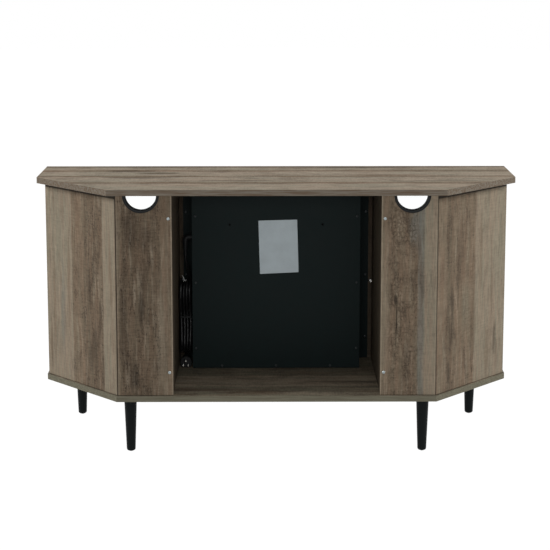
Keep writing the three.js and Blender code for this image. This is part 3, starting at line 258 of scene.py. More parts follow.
def plainFinish(name):
    if name not in finishes:
        colour, rough, metal, gloss, grainSize, grainDepth, clouding = plainLooks[name]
        finishes[name], sheet = newFinish(name)
        axes = sheet.position()
        cloud = sheet.noise(axes, (cloudSize,) * 3, 3, 0.55, 5)
        grain = sheet.noise(axes, (grainSize,) * 3, 2, 0.5, 9)
        shade = 1 + (cloud - 0.5) * (2 * clouding) + (grain - 0.5) * clouding
        sheet.surface("BsdfPrincipled", {
            "Base Color": sheet.scaled(sheet.node("RGB", {"colour": colour}), shade),
            "Roughness": rough + (cloud - 0.5) * cloudRough,
            "Metallic": metal,
            "Specular IOR Level": gloss,
            "Normal": sheet.bump(grain, grainDepth),
        })
    return finishes[name]


glassFacts = {"colour": (0.985, 0.995, 0.992, 1), "smear": (0.05, 0.05, 0.08), "smearRough": 0.05,
              "ior": 1.22}


def glassFinish(facts):
    material, sheet = newFinish("paneGlass")
    smear = sheet.noise(sheet.position(), facts["smear"], 3, 0.6, 2)
    sheet.surface("BsdfPrincipled", {
        "Base Color": facts["colour"],
        "Roughness": sheet.fade(smear, 0.55, 0.8) * facts["smearRough"],
        "IOR": facts["ior"],
        "Transmission Weight": 1,
    })
    return material


# Resin embers: char on the crowns, amber in the gaps
emberLook = {"char": (0.012, 0.011, 0.011, 1), "ash": (0.16, 0.145, 0.13, 1),
             "amber": (0.42, 0.07, 0.012, 1), "gaps": (0.1725, 0.1785)}


def emberFinish(look):
    material, sheet = newFinish("resinEmbers")
    axes = sheet.position()
    lump = sheet.noise(axes, (0.012,) * 3, 3, 0.6, 2)
    dust = sheet.noise(axes, (0.0025,) * 3, 3, 0.65, 6)
    deep = 1 - sheet.fade(axes[2], *look["gaps"])
    ashen = sheet.fade(lump, 0.5, 0.66) * sheet.fade(dust, 0.4, 0.7)
    colour = sheet.mix(ashen * 0.8, look["char"], look["ash"])
    colour = sheet.mix(deep * sheet.fade(dust, 0.25, 0.6), colour, look["amber"])
    sheet.surface("BsdfPrincipled", {"Base Color": colour, "Roughness": 0.45 + ashen * 0.4,
                                     "Specular IOR Level": 0.4, "Normal": sheet.bump(dust, 0.0005)})
    return material


barkLook = {"bark": (0.085, 0.058, 0.04, 1), "pale": (0.24, 0.19, 0.145, 1),
            "char": (0.014, 0.012, 0.011, 1)}


def barkFinish(look):
    material, sheet = newFinish("resinBark")
    axes = sheet.position()
    strand = sheet.noise(axes, (0.03, 0.0022, 0.0022), 4, 0.65, 3)
    flake = sheet.noise(axes, (0.009, 0.005, 0.005), 3, 0.6, 8)
    burnt = sheet.fade(sheet.noise(axes, (0.05, 0.03, 0.03), 2, 0.5, 12), 0.46, 0.62)
    colour = sheet.mix(sheet.fade(strand, 0.42, 0.66), look["bark"], look["pale"])
    colour = sheet.mix(sheet.fade(flake, 0.55, 0.7) * 0.7, colour, look["char"])
    colour = sheet.mix(burnt * 0.9, colour, look["char"])
    sheet.surface("BsdfPrincipled", {"Base Color": colour, "Roughness": 0.8 - burnt * 0.15,
                                     "Specular IOR Level": 0.25,
                                     "Normal": sheet.bump(strand * 0.7 + flake * 0.5, 0.0009)})
    return material


# Forms are made in millimetres, and a piece's mesh is scaled to metres when it is placed
metres = (0.001, 0.001, 0.001)
rearward, upward, sideward = (0, 1, 0), (0, 0, 1), (1, 0, 0)


def place(name, form, finish, slot, body="stand", replaces=(), smooth=35):
    mesh = bpy.data.meshes.new(name)
    bmesh.ops.scale(form, vec=metres, verts=form.verts)
    bmesh.ops.recalc_face_normals(form, faces=form.faces)
    form.to_mesh(mesh)
    form.free()
    for polygon in mesh.polygons:
        polygon.use_smooth = True
    mesh.set_sharp_from_angle(angle=radians(smooth))
    mesh.materials.append(finish if isinstance(finish, bpy.types.Material) else plainFinish(finish))
    piece = addObject(name, mesh)
    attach(piece, body)
    if replaces:
        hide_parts(*replaces)
    return piece


def joinRings(form, first, second):
    for index in range(len(first)):
        after = (index + 1) % len(first)
        form.faces.new((first[index], first[after], second[after], second[index]))


# A lofted form runs through rings of points
def addLoft(form, rings, capped=True):
    made = [[form.verts.new(point) for point in ring] for ring in rings]
    for first, second in zip(made, made[1:]):
        joinRings(form, first, second)
    if capped:
        form.faces.new(made[0][::-1])
        form.faces.new(made[-1])
    return made


def frameAlong(direction):
    axis = Vector(direction).normalized()
    side = axis.orthogonal() if abs(axis.z) > 0.9 else axis.cross(Vector(upward))
    side.normalize()
    return axis, side, axis.cross(side)


def turns(count):
    return [2 * pi * step / count for step in range(count)]


# A turned form: its profile of (radius, distance) runs along the direction
def addTurned(form, profile, start, direction, segments=48):
    axis, side, up = frameAlong(direction)
    spokes = [side * cos(angle) + up * sin(angle) for angle in turns(segments)]
    addLoft(form, [[Vector(start) + axis * distance + spoke * radius for spoke in spokes]
                   for radius, distance in profile])


def placeTurned(name, profile, start, direction, segments, finish, slot, **rest):
    form = bmesh.new()
    addTurned(form, profile, start, direction, segments)
    return place(name, form, finish, slot, **rest)


# Power cord: one continuous length, from the boot down through the tied hank to the plug
cordFacts = {
    "diameter": 0.007,
    "gapX": 237.75,
    "flangeY": -162.05,
    "foldOuter": 30,
    "foldPitch": 9,
    "layerPitch": 7.8,
    "layers": 4,
    "low": 215.3,
    "high": 355.3,
    "middle": -90.35,
    "waistDraw": 17,
    "sway": 1.2,
    "turnSteps": 96,
    "step": 3,
}
leadRoute = [
    (0, 69.7, 454.7), (0, 69.7, 447), (-1.15, 66.5, 431), (-4.95, 57.7, 411), (-9.35, 47.7, 390),
    (-11.55, 42.5, 375), (-11.7, 41.7, 368), (-11.7, 41.7, 362.6),
]
tailRoute = [
    (11.7, 41.7, 348), (11.7, 41.7, 341), (11.15, 40.1, 327), (9.45, 33.7, 302), (6.45, 24.7, 274),
    (3.25, 18.1, 247), (0.85, 15.1, 224), (0, 14.7, 206), (0, 15.3, 191), (0, 20.2, 178.5),
    (0, 29.2, 169.6), (0, 40.2, 166.4), (0, 45.1, 166.3),
]


# A smooth run through listed points, knotted by the root of their distances
def smoothRun(route, facts):
    line = [Vector((facts["gapX"] + x, facts["flangeY"] + y, z)) for x, y, z in route]
    line = [line[0] * 2 - line[1]] + line + [line[-1] * 2 - line[-2]]
    run = []
    for a, b, c, d in zip(line, line[1:], line[2:], line[3:]):
        knots = [0]
        for first, second in ((a, b), (b, c), (c, d)):
            knots.append(knots[-1] + max((second - first).length, 1e-6) ** 0.5)
        count = max(2, round((c - b).length / facts["step"]))
        for step in range(count):
            t = knots[1] + (knots[2] - knots[1]) * step / count

            def between(first, second, low, high):
                span = knots[high] - knots[low]
                return first * ((knots[high] - t) / span) + second * ((t - knots[low]) / span)

            ab, bc, cd = between(a, b, 0, 1), between(b, c, 1, 2), between(c, d, 2, 3)
            run.append(between(between(ab, bc, 0, 2), between(bc, cd, 1, 3), 1, 2))
    run.append(line[-2])
    return run


def hankRun(gapX, layers, layerPitch, low, high, middle, turnSteps, foldOuter, foldPitch, sway, waistDraw,
            **others):
    quarter = turnSteps // 4
    firstX = gapX - (layers - 1) / 2 * layerPitch
    run = []
    for layer in range(layers):
        for step in range(turnSteps):
            share = step / turnSteps
            radius = foldOuter - foldPitch * (share if layer % 2 == 0 else 1 - share)
            climb = step / quarter - 1 if layer > 0 and step < quarter else 0
            x = firstX + (layer + climb) * layerPitch + sway * sin(2 * pi * share * 3 + layer * 0.35)
            part, rest = divmod(step, quarter)
            way = rest / quarter
            angle = pi * way
            drawn = waistDraw * sin(angle) ** 2
            y, z = [(drawn - radius, high - way * (high - low)),
                    (-radius * cos(angle), low - radius * sin(angle)),
                    (radius - drawn, low + way * (high - low)),
                    (radius * cos(angle), high + radius * sin(angle))][part]
            run.append(Vector((x, middle + y, z)))
    return run + [Vector((firstX + (layers - 1) * layerPitch, middle - foldOuter, high))]


def makeCord(facts):
    run = smoothRun(leadRoute, facts) + hankRun(**facts) + smoothRun(tailRoute, facts)
    run = [point / 1000 for point in run]
    data = bpy.data.curves.new("powerCord", "CURVE")
    data.dimensions = "3D"
    spline = data.splines.new("POLY")
    spline.points.add(len(run) - 1)
    for point, at in zip(spline.points, run):
        point.co = (*at, 1)
    data.bevel_depth = facts["diameter"] / 2
    data.bevel_resolution = 5
    data.use_fill_caps = True
    data.materials.append(plainFinish("cordSheath"))
    cord = addObject("powerCord", data)
    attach(cord, "stand")
    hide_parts("cord_lead", "cord_hank", "cord_tail")
    length = sum((after - before).length for before, after in zip(run, run[1:]))
    print(f"cord: {length:.3f} m")
    return cord, run[0], length


plugFacts = {
    "face": -66.35, "length": 28, "half": 15, "round": 9, "z": 166.3,
    "shares": [(0, 0.78), (0.8, 0.84), (3, 0.88), (9, 0.86), (15, 0.86), (20, 0.93), (24, 0.985),
               (26.6, 1), (27.5, 0.985), (28, 0.95)],
    "relief": 22, "reliefRadius": 7.5, "tail": 4.3, "ribs": 5, "ribPitch": 3.9,
    "bladeX": 6.35, "pinUp": 5.95, "blade": [(-0.3, 0), (13.6, 0), (15.4, 0.5), (15.9, 1.3)],
    "bladeHalf": (0.8, 3.2), "pin": [(2.4, 0), (2.4, 15.5), (1.9, 17.2), (0.9, 17.9)],
}


# The plug's outline seen from its face: flat below, half round above
def plugOutline(facts, share, y):
    half, r = facts["half"] * share, facts["round"] * share
    points = []
    for cx, cz, low, high, reach, steps in ((half - r, r - half, -90, 0, r, 8), (0, 0, 0, 180, half, 24),
                                            (r - half, r - half, 180, 270, r, 8)):
        for step in range(steps + 1):
            angle = radians(low + (high - low) * step / steps)
            points.append((cordFacts["gapX"] + cx + reach * cos(angle), y,
                           facts["z"] + cz + reach * sin(angle)))
    return points


def makePlug(facts):
    x, z = cordFacts["gapX"], facts["z"]
    back = facts["face"] - facts["length"]
    form = bmesh.new()
    addLoft(form, [plugOutline(facts, share, back + y) for y, share in facts["shares"]])
    body = place("plugBody", form, "blackMoulding", "black_plastic", replaces=["power_plug"])

    tail, grown = facts["tail"], facts["reliefRadius"]
    profile = [(tail + 0.1, 0), (tail + 0.5, 0.5)]
    for rib in range(facts["ribs"]):
        at = 1.2 + rib * facts["ribPitch"]
        radius = tail + 0.6 + (grown - tail - 0.6) * rib / (facts["ribs"] - 1)
        profile += [(radius, at), (radius, at + 2.3), (radius - 1.1, at + 2.6), (radius - 1.1, at + 3.6)]
    profile += [(grown, facts["relief"]), (grown, facts["relief"] + 0.6)]
    relief = placeTurned("plugRelief", profile, (x, back - facts["relief"], z), rearward, 40, "blackMoulding",
                         "black_plastic")

    form = bmesh.new()
    wide, tall = facts["bladeHalf"]
    for sign in (-1, 1):
        addLoft(form, [[(x + sign * facts["bladeX"] + dx * (wide - grow * 0.3), facts["face"] + y,
                         z - facts["pinUp"] + dz * (tall - grow))
                        for dx, dz in ((-1, -1), (1, -1), (1, 1), (-1, 1))] for y, grow in facts["blade"]])
    addTurned(form, facts["pin"], (x, facts["face"] - 0.3, z + facts["pinUp"]), rearward, 24)
    prongs = place("plugProngs", form, "brassBlade", "steel")
    return [body, relief, prongs]


# The tie: a flat wire band round the waist, with its ends twisted together
tieFacts = {
    "half": (15.5, 14.55), "corner": 3.5, "cornerSteps": 8, "shiftY": -2.25,
    "section": [(0, -2.4), (0, 2.4), (0.35, 2.5), (0.9, 2.5), (1.2, 2.2), (1.2, -2.2), (0.9, -2.5),
                (0.35, -2.5)],
    "twist": (1.15, 0.6), "reach": (7.4, 4.6, 4.6), "twistSteps": 24, "twistTurn": 3 * pi,
}


def makeTie(facts):
    x, y = cordFacts["gapX"], cordFacts["middle"] + facts["shiftY"]
    z = (cordFacts["low"] + cordFacts["high"]) / 2
    (halfX, halfY), corner, steps = facts["half"], facts["corner"], facts["cornerSteps"]
    rings = []
    for sx, sy, low in ((1, -1, -90), (1, 1, 0), (-1, 1, 90), (-1, -1, 180)):
        for step in range(steps + 1):
            angle = radians(low + 90 * step / steps)
            rings.append([(x + sx * (halfX - corner) + (corner + grow) * cos(angle),
                           y + sy * (halfY - corner) + (corner + grow) * sin(angle), z + lift)
                          for grow, lift in facts["section"]])
    form = bmesh.new()
    made = addLoft(form, rings, capped=False)
    joinRings(form, made[-1], made[0])

    start, reach = Vector((x, y + halfY + 1, z)), Vector(facts["reach"])
    axis, side, up = frameAlong(reach)
    wide, flat = facts["twist"]
    rings = []
    for step in range(facts["twistSteps"] + 1):
        way = step / facts["twistSteps"]
        turn = way * facts["twistTurn"]
        across = side * cos(turn) + up * sin(turn)
        over = up * cos(turn) - side * sin(turn)
        rings.append([start + reach * way + across * (wide * cos(angle)) + over * (flat * sin(angle))
                      for angle in turns(12)])
    addLoft(form, rings)
    return place("cordTie", form, "blackMoulding", "black_plastic", replaces=["cord_tie"])


# A thin wire tie round the topmost fold, with its two ends standing up
wireFacts = {"fold": (240.45, -90.35, 377.43), "inner": 3.55, "outer": 4.1, "wide": 2.2, "radius": 0.85,
             "ends": [((241.3, -90.35, 380.9), (245.4, -88.5, 394)),
                      ((239.4, -90.35, 381.1), (231.9, -83.5, 385.2))]}


def makeWire(facts):
    form = bmesh.new()
    inner, outer, wide, radius = facts["inner"], facts["outer"], facts["wide"], facts["radius"]
    addTurned(form, [(inner, 0), (outer - 0.2, 0), (outer, 0.3), (outer, wide - 0.3), (outer - 0.2, wide),
                     (inner, wide)], Vector(facts["fold"]) - Vector((0, wide / 2, 0)), rearward, 28)
    for start, end in facts["ends"]:
        reach = Vector(end) - Vector(start)
        addTurned(form, [(radius, 0), (radius, reach.length - 0.4), (radius * 0.6, reach.length)],
                  start, reach, 16)
    return place("cordWire", form, "paleSleeve", "steel")


# The boot: an elbow from the casing's side, with a ribbed relief that points down
bootFacts = {
    "y": -92.35, "z": 497, "side": 218.8, "radius": 8, "bend": 9, "bendSteps": 12,
    "ribs": 6, "ribTop": 10.5, "ribPitch": 5, "ribRadius": 7.9, "ribTaper": 0.52, "groove": 1.1,
    "end": (4.4, 42),
    "collar": [(10.5, 0), (11, 0.3), (11, 1.5), (10.4, 2), (8.5, 2.2)],
}


def makeBoot(y, z, side, radius, bend, bendSteps, ribs, ribTop, ribPitch, ribRadius, ribTaper, groove, end,
             collar):
    x = cordFacts["gapX"]
    spine = [((side + out, z), (1, 0), radius) for out in (0, 3.7)]
    for step in range(bendSteps + 1):
        angle = pi / 2 * step / bendSteps
        spine.append(((x - bend + bend * sin(angle), z - bend + bend * cos(angle)),
                      (cos(angle), -sin(angle)), radius))
    for rib in range(ribs):
        top = z - ribTop - rib * ribPitch
        for drop, sunk in ((0, 0), (3.2, 0), (3.6, groove), (4.6, groove)):
            spine.append(((x, top - drop), (0, -1), ribRadius - rib * ribTaper - sunk))
    spine.append(((x, z - end[1]), (0, -1), end[0]))
    rings = []
    for (atX, atZ), (alongX, alongZ), radius in spine:
        out = Vector(rearward)
        across = Vector((alongX, 0, alongZ)).cross(out)
        rings.append([Vector((atX, y, atZ)) + (out * cos(angle) + across * sin(angle)) * radius
                      for angle in turns(32)])
    form = bmesh.new()
    addLoft(form, rings)
    addTurned(form, collar, (side, y, z), sideward, 40)
    place("cordBoot", form, "blackMoulding", "black_plastic", replaces=["cord_boot"])


cord, cordStart, cordLength = makeCord(cordFacts)
cordPieces = makePlug(plugFacts) + [makeTie(tieFacts), makeWire(wireFacts)]
makeBoot(**bootFacts)
print("cord, plug, tie and boot placed")

# Board finish: a printed rough-sawn oak, in bands of tones across the board. A band is from, to, tone and
# how knotty it is. Over the bands lie streaks, saw marks, smudges, specks and the marks listed for one board.
oak = {
    "greige": (150, 138, 120), "pale": (161, 148, 129), "brown": (120, 102, 84), "umber": (104, 88, 72),
    "dark": (80, 69, 58), "char": (44, 39, 35), "olive": (128, 124, 107), "rosy": (143, 125, 107),
    "blue": (112, 113, 107), "banding": (126, 117, 103), "moss": (110, 105, 90),
}
# Noise layers: width and length of a fleck in metres, detail, roughness, seed and strength
oakLayers = {
    "bend": (0.06, 0.24, 2, 0.5, 0, 0.02),
    "waver": (0.014, 0.05, 2, 0.5, 1.3, 0.005),
    "tint": (0.0085, 0.15, 2, 0.55, 3.1, 0.46),
    "smudge": (0.019, 0.08, 5, 0.68, 5.9, 0.85),
    "paleStreak": (0.0075, 0.12, 3, 0.6, 8.2, 0.48),
    "darkStreak": (0.006, 0.085, 4, 0.66, 9.6, 0.72),
    "speck": (0.0034, 0.0062, 3, 0.62, 14.7, 0.85),
    "fibre": (0.0019, 0.036, 2, 0.6, 17.9, 0.84),
    "saw": (0.02, 0.0042, 2, 0.5, 23.3, 0.48),
}
coarseLayers = ("tint", "smudge", "paleStreak", "darkStreak", "fibre")
oakFacts = {"bumpDepth": 0.00016, "gloss": 0.06, "rough": 0.6, "bandEdge": 2.5, "pitEdge": 10}
zinc = {"colour": (0.55, 0.56, 0.57, 1), "roughness": 0.34}


# The alpha of each stop says how knotty the band is
def bandStops(bands, width, shadeOf):
    stops = []
    for start, end, name, knotty in bands:
        colour = shadeOf(name)[:3] + (knotty,)
        stops.append((max(start + oakFacts["bandEdge"], 0) / width, colour))
        stops.append((min(end - oakFacts["bandEdge"], width) / width, colour))
    return stops


# Places on a board are in millimetres. A mark is place, height, half width, half length, tone and strength; a
# line is place, half width, tone and strength; each painted shadow along the board is the height where its
# painted shade starts, where it is full, and its strength. metal lists the stretches of the board's solid
# that are hardware: [axis, direction, limit]
def oakFinish(name, across, along, start, width, bands, marks=(), lines=(), pits=None, metal=(), seed=0,
              gain=1, edgeGain=1, warmth=0, coarse=(1, 1), gloss=oakFacts["gloss"],
              seamsAndPaintedShadows=(), paintedRearShadeGain=1, edgeTones=("umber", "banding")):
    material, sheet = newFinish(name)
    fade, mix, noiseAt = sheet.fade, sheet.mix, sheet.noise
    strength = {key: layer[-1] for key, layer in oakLayers.items()}

    def layer(key, place):
        wide, long, detail, roughness, offset, _ = oakLayers[key]
        stretch = coarse if key in coarseLayers else (1, 1)
        return noiseAt(place, (wide * stretch[0], long * stretch[1], 1), detail, roughness, seed + offset)

    def shadeOf(kind, extra=1):
        red, green, blue, alpha = tone(*oak[kind], gain * extra)
        return red, green * (1 - warmth * 0.3), blue * (1 - warmth), alpha

    def cover(share, kind, extra=1):
        nonlocal colour
        colour = mix(share, colour, shadeOf(kind, extra))

    def towards(parts, direction):
        total = 0
        for part, share in zip(parts, direction):
            if abs(share) > 1e-6:
                total = part * share + total if total else part * share
        return total

    axes, facing = sheet.position(), sheet.position("Normal")
    third = Vector(across).cross(Vector(along))
    u = towards(axes, across) - start / 1000
    v = towards(axes, along)
    flat = [u, v, towards(axes, third)]
    bend = (layer("bend", flat) - 0.5) * strength["bend"] + (layer("waver", flat) - 0.5) * strength["waver"]
    bent = [u + bend, v, flat[2]]
    colour = sheet.node("ValToRGB", {"stops": bandStops(bands, width, shadeOf)},
                        {0: (u + bend * 0.45) / (width / 1000)})
    knotty = Signal(sheet, colour.socket.node.outputs["Alpha"])

    tint = fade(layer("tint", bent), 0.36, 0.64)
    tinted = mix(tint, shadeOf("olive"), shadeOf("rosy"))
    colour = mix((1 - knotty * 0.5) * strength["tint"], colour, tinted)
    smudge = layer("smudge", bent)
    smudged = fade(smudge, 0.47, 0.68) * (0.16 + knotty * 0.84) * strength["smudge"]
    cover(smudged, "dark")
    for key, kind, plain in (("paleStreak", "pale", 0.6), ("darkStreak", "umber", 0.42)):
        streak = fade(layer(key, bent), 0.5, 0.7)
        cover(streak * (plain + knotty * (1 - plain)) * strength[key], kind)

    for *sizes, kind, share in marks:
        place, height, halfWidth, halfLength = (size / 1000 for size in sizes)
        spot = (((bent[0] - place) / halfWidth) ** 2 + ((v - height) / halfLength) ** 2) ** 0.5
        ragged = noiseAt(bent, (0.005, 0.024, 1), 4, 0.66, seed + place * 50)
        cover(fade(1.2 - spot + (ragged - 0.5) * 1.5, 0, 0.9) * share, kind)

    patches = fade(smudge, 0.4, 0.62)
    speckled = fade(layer("speck", flat), 0.53, 0.68) * (0.1 + knotty * 0.9) * (0.35 + patches * 0.65)
    cover(speckled * strength["speck"], "char")
    if pits:
        low, high, edge = (size / 1000 for size in (*pits["zone"], oakFacts["pitEdge"]))
        zone = fade(bent[0], low - edge, low + edge) * (1 - fade(bent[0], high - edge, high + edge))
        crumbs = noiseAt(flat, pits["sizes"], 4, 0.7, seed + 31)
        rubbed = noiseAt(flat, pits["patchSizes"], 2, 0.5, seed + 37)
        cell = sheet.node("CombineXYZ", sockets={
            0: (u + (crumbs - 0.5) * 0.012) / pits["cell"][0],
            1: (v + (smudge - 0.5) * 0.03) / pits["cell"][1], 2: seed})
        seam = sheet.node("TexVoronoi", {"feature": "DISTANCE_TO_EDGE"}, {"Vector": cell, "Scale": 1})
        cover((1 - fade(seam, 0.02, 0.2)) * fade(rubbed, 0.4, 0.6) * zone * pits["seamsAndPaintedShadows"], "dark")
        pitted = fade(crumbs, 0.54, 0.64) * fade(rubbed, 0.36, 0.58) * zone
        cover(pitted * pits["strength"], "char")
        cover(fade(seam, 0.2, 0.42) * zone * 0.14, "greige")
    for place, halfWidth, kind, share in lines:
        cover(fade(1 - ((u - place / 1000) / (halfWidth / 1000)) ** 2, 0, 0.6) * share, kind)
    # Painted shadow: the board darkens along its length up to where the painted shade is full
    for clear, dark, share in seamsAndPaintedShadows:
        cover(fade(v, clear / 1000, dark / 1000) * share, "char", 0.7)

    fibre, saw = layer("fibre", bent), layer("saw", flat)
    shade = 1 + (fibre - 0.5) * strength["fibre"] + (saw - 0.5) * ((0.6 + knotty) * strength["saw"])
    colour = sheet.scaled(colour, shade)
    # Painted shade: faces that look rearward are darkened, as if in shadow
    if paintedRearShadeGain != 1:
        colour = sheet.scaled(colour, 1 - fade(facing[1], 0.4, 0.6) * (1 - paintedRearShadeGain))

    # Cut edges carry a plain banding
    outward = towards(facing, third)
    cutEdge = 1 - fade(outward.calc("ABSOLUTE", outward), 0.35, 0.65)
    banding = fade(noiseAt(flat, (0.0035, 0.1, 0.0035), 4, 0.66, seed + 41), 0.36, 0.62)
    colour = mix(cutEdge, colour, mix(banding, *[shadeOf(kind, edgeGain) for kind in edgeTones]))

    rough = oakFacts["rough"] + (tint - 0.5) * 0.08 - smudged * 0.12
    relief = fibre * 0.5 + saw * 0.4 - speckled * 0.6
    hardware = 0
    for axis, direction, limit in metal:
        reach = axes[axis] * direction
        beyond = reach.calc("GREATER_THAN", reach, limit / 1000)
        hardware = beyond.calc("MAXIMUM", hardware, beyond) if hardware else beyond
    if metal:
        colour = mix(hardware, colour, zinc["colour"])
        rough = rough + hardware * (zinc["roughness"] - oakFacts["rough"])
    sheet.surface("BsdfPrincipled", {
        "Base Color": colour,
        "Roughness": rough,
        "Metallic": hardware,
        "Specular IOR Level": gloss,
        "Normal": sheet.bump(relief, oakFacts["bumpDepth"]),
    })
    return material


def dress(name, material):
    node = nodes[name]
    node.data.materials.clear()
    node.data.materials.append(material)


def ease(piece, width):
    edge = piece.modifiers.new("easedEdges", "BEVEL")
    edge.width = width
    edge.segments = 2
    edge.limit_method = "ANGLE"
    edge.angle_limit = radians(35)
    edge.harden_normals = False


bodyRear, rearCorner, openingSide = 181.65, 394.5, 256
backWidth, cornerWidth, topWidth, topStart = 138.5, 278, 386, -192
diagonal = sqrt(0.5)
cornerStart = (rearCorner - bodyRear) * diagonal
# Painted shadows: a dark band on the slanted boards just under the top's overhang, and a dark band on the
# rear and slanted boards just above the bottom board
paintedShadowUnderTop, paintedShadowOverBottom = (643, 646.6, 0.92), (153.6, 151.4, 0.8)

# The two rear boards that show in the photograph, and the slanted boards beside them
dress("right_back_panel", oakFinish(
    "oakRightBack", (1, 0, 0), upward, openingSide, backWidth,
    [(0, 30, "brown", 0.35), (30, 125, "umber", 1), (125, 138.5, "brown", 0.5)],
    marks=[
        (100, 570, 26, 60, "dark", 0.6), (66, 545, 16, 50, "dark", 0.5),
        (24, 600, 22, 70, "brown", 0.6), (73, 372, 6.5, 60, "char", 0.6),
        (68, 450, 12, 50, "dark", 0.55), (90, 410, 3.5, 40, "pale", 0.45),
        (118, 300, 14, 100, "dark", 0.5), (98, 200, 18, 50, "char", 0.4),
        (30, 300, 18, 150, "greige", 0.4),
    ],
    # The pale line beside the char joint line is a painted highlight on the board's edge; the other pale line
    # lightens the face along the opening edge
    lines=[(137.5, 1.3, "char", 0.95), (134.5, 1.6, "pale", 0.4), (1.2, 2.2, "pale", 0.7)],
    seed=2, gain=0.93, seamsAndPaintedShadows=[paintedShadowOverBottom],
))
dress("left_back_panel", oakFinish(
    "oakLeftBack", (-1, 0, 0), upward, openingSide, backWidth,
    [(0, 24, "brown", 0.25), (24, 90, "brown", 0.75), (90, 106, "blue", 0.35),
     (106, 138.5, "greige", 0.1)],
    marks=[
        (39, 333, 1.7, 62, "char", 1), (38, 392, 5, 14, "char", 0.9),
        (84, 575, 16, 60, "blue", 0.6), (100, 430, 6, 80, "dark", 0.4),
        (93, 530, 6, 50, "dark", 0.4), (62, 220, 14, 60, "dark", 0.4),
        (10, 350, 12, 200, "greige", 0.3),
    ],
    # The pale line beside the char joint line is a painted highlight on the board's edge; the other pale line
    # lightens the face along the opening edge
    lines=[(137.8, 1.2, "char", 0.7), (135.2, 1.4, "pale", 0.55), (1.2, 2.2, "pale", 0.6)],
    pits={"zone": (20, 88), "sizes": (0.0042, 0.0052, 1), "patchSizes": (0.03, 0.05, 1),
          "strength": 0.42, "cell": (0.0085, 0.0125), "seamsAndPaintedShadows": 0.6},
    seed=9, gain=1.06, seamsAndPaintedShadows=[paintedShadowOverBottom],
))
dress("right_corner_panel", oakFinish(
    "oakRightCorner", (diagonal, -diagonal, 0), upward, cornerStart, cornerWidth,
    [(0, 50, "greige", 0.05), (50, 125, "umber", 0.9), (125, 172, "brown", 0.65),
     (172, 278, "greige", 0.08)],
    marks=[
        (102, 400, 6, 55, "char", 0.4), (82, 270, 18, 50, "char", 0.35),
        (100, 230, 16, 45, "dark", 0.6), (62, 330, 8, 70, "dark", 0.45),
        (215, 330, 12, 140, "blue", 0.4), (230, 500, 12, 100, "olive", 0.4),
        (188, 420, 7, 160, "brown", 0.5), (248, 360, 6, 200, "brown", 0.45),
        (262, 240, 5, 70, "umber", 0.6), (20, 450, 8, 140, "brown", 0.45),
    ],
    lines=[(1.2, 1.4, "dark", 0.5)],
    seed=4, gain=0.98, seamsAndPaintedShadows=[paintedShadowUnderTop, paintedShadowOverBottom],
))
dress("left_corner_panel", oakFinish(
    "oakLeftCorner", (-diagonal, -diagonal, 0), upward, cornerStart, cornerWidth,
    [(0, 35, "brown", 0.35), (35, 60, "umber", 0.75), (60, 150, "brown", 0.6),
     (150, 278, "greige", 0.12)],
    marks=[
        (62, 370, 9, 60, "char", 0.45), (55, 300, 12, 50, "dark", 0.6),
        (46, 200, 14, 30, "char", 0.45), (235, 250, 9, 50, "char", 0.5),
        (95, 500, 20, 100, "dark", 0.45), (150, 300, 10, 120, "umber", 0.5),
        (120, 360, 20, 80, "olive", 0.4), (175, 480, 7, 120, "brown", 0.45),
        (205, 220, 9, 90, "brown", 0.5), (255, 500, 8, 100, "olive", 0.5),
        (222, 400, 5, 140, "umber", 0.35),
    ],
    lines=[(1.2, 1.4, "dark", 0.5)],
    seed=6, gain=0.98, seamsAndPaintedShadows=[paintedShadowUnderTop, paintedShadowOverBottom],
))
dress("top_panel", oakFinish(
    "oakTop", rearward, sideward, topStart, topWidth,
    [(0, 32, "umber", 0.75), (32, 75, "greige", 0.3), (75, 105, "brown", 0.5),
     (105, 170, "greige", 0.2), (170, 195, "brown", 0.6), (195, 270, "greige", 0.25),
     (270, 300, "brown", 0.45), (300, 386, "greige", 0.1)],
    marks=[
        (30, -200, 16, 130, "char", 0.5), (20, 250, 14, 200, "dark", 0.6),
        (90, 380, 14, 60, "char", 0.45), (130, 300, 18, 70, "dark", 0.7),
        (200, 360, 20, 100, "dark", 0.6), (250, 120, 14, 100, "dark", 0.5),
        (160, -280, 16, 120, "umber", 0.6), (250, -420, 12, 100, "dark", 0.4),
        (330, 220, 10, 50, "umber", 0.5),
    ],
    seed=12, gain=1.18, edgeGain=0.935, warmth=-0.09, coarse=(2.4, 1.2), gloss=0,
))

# The plainer boards: [across, along, start, width, seed]
boards = {
    "bottom_panel": [rearward, sideward, -190, 380, 15],
    "front_top_rail": [upward, sideward, 630, 30, 18],
    "front_bottom_rail": [upward, sideward, 150, 30, 21],
}
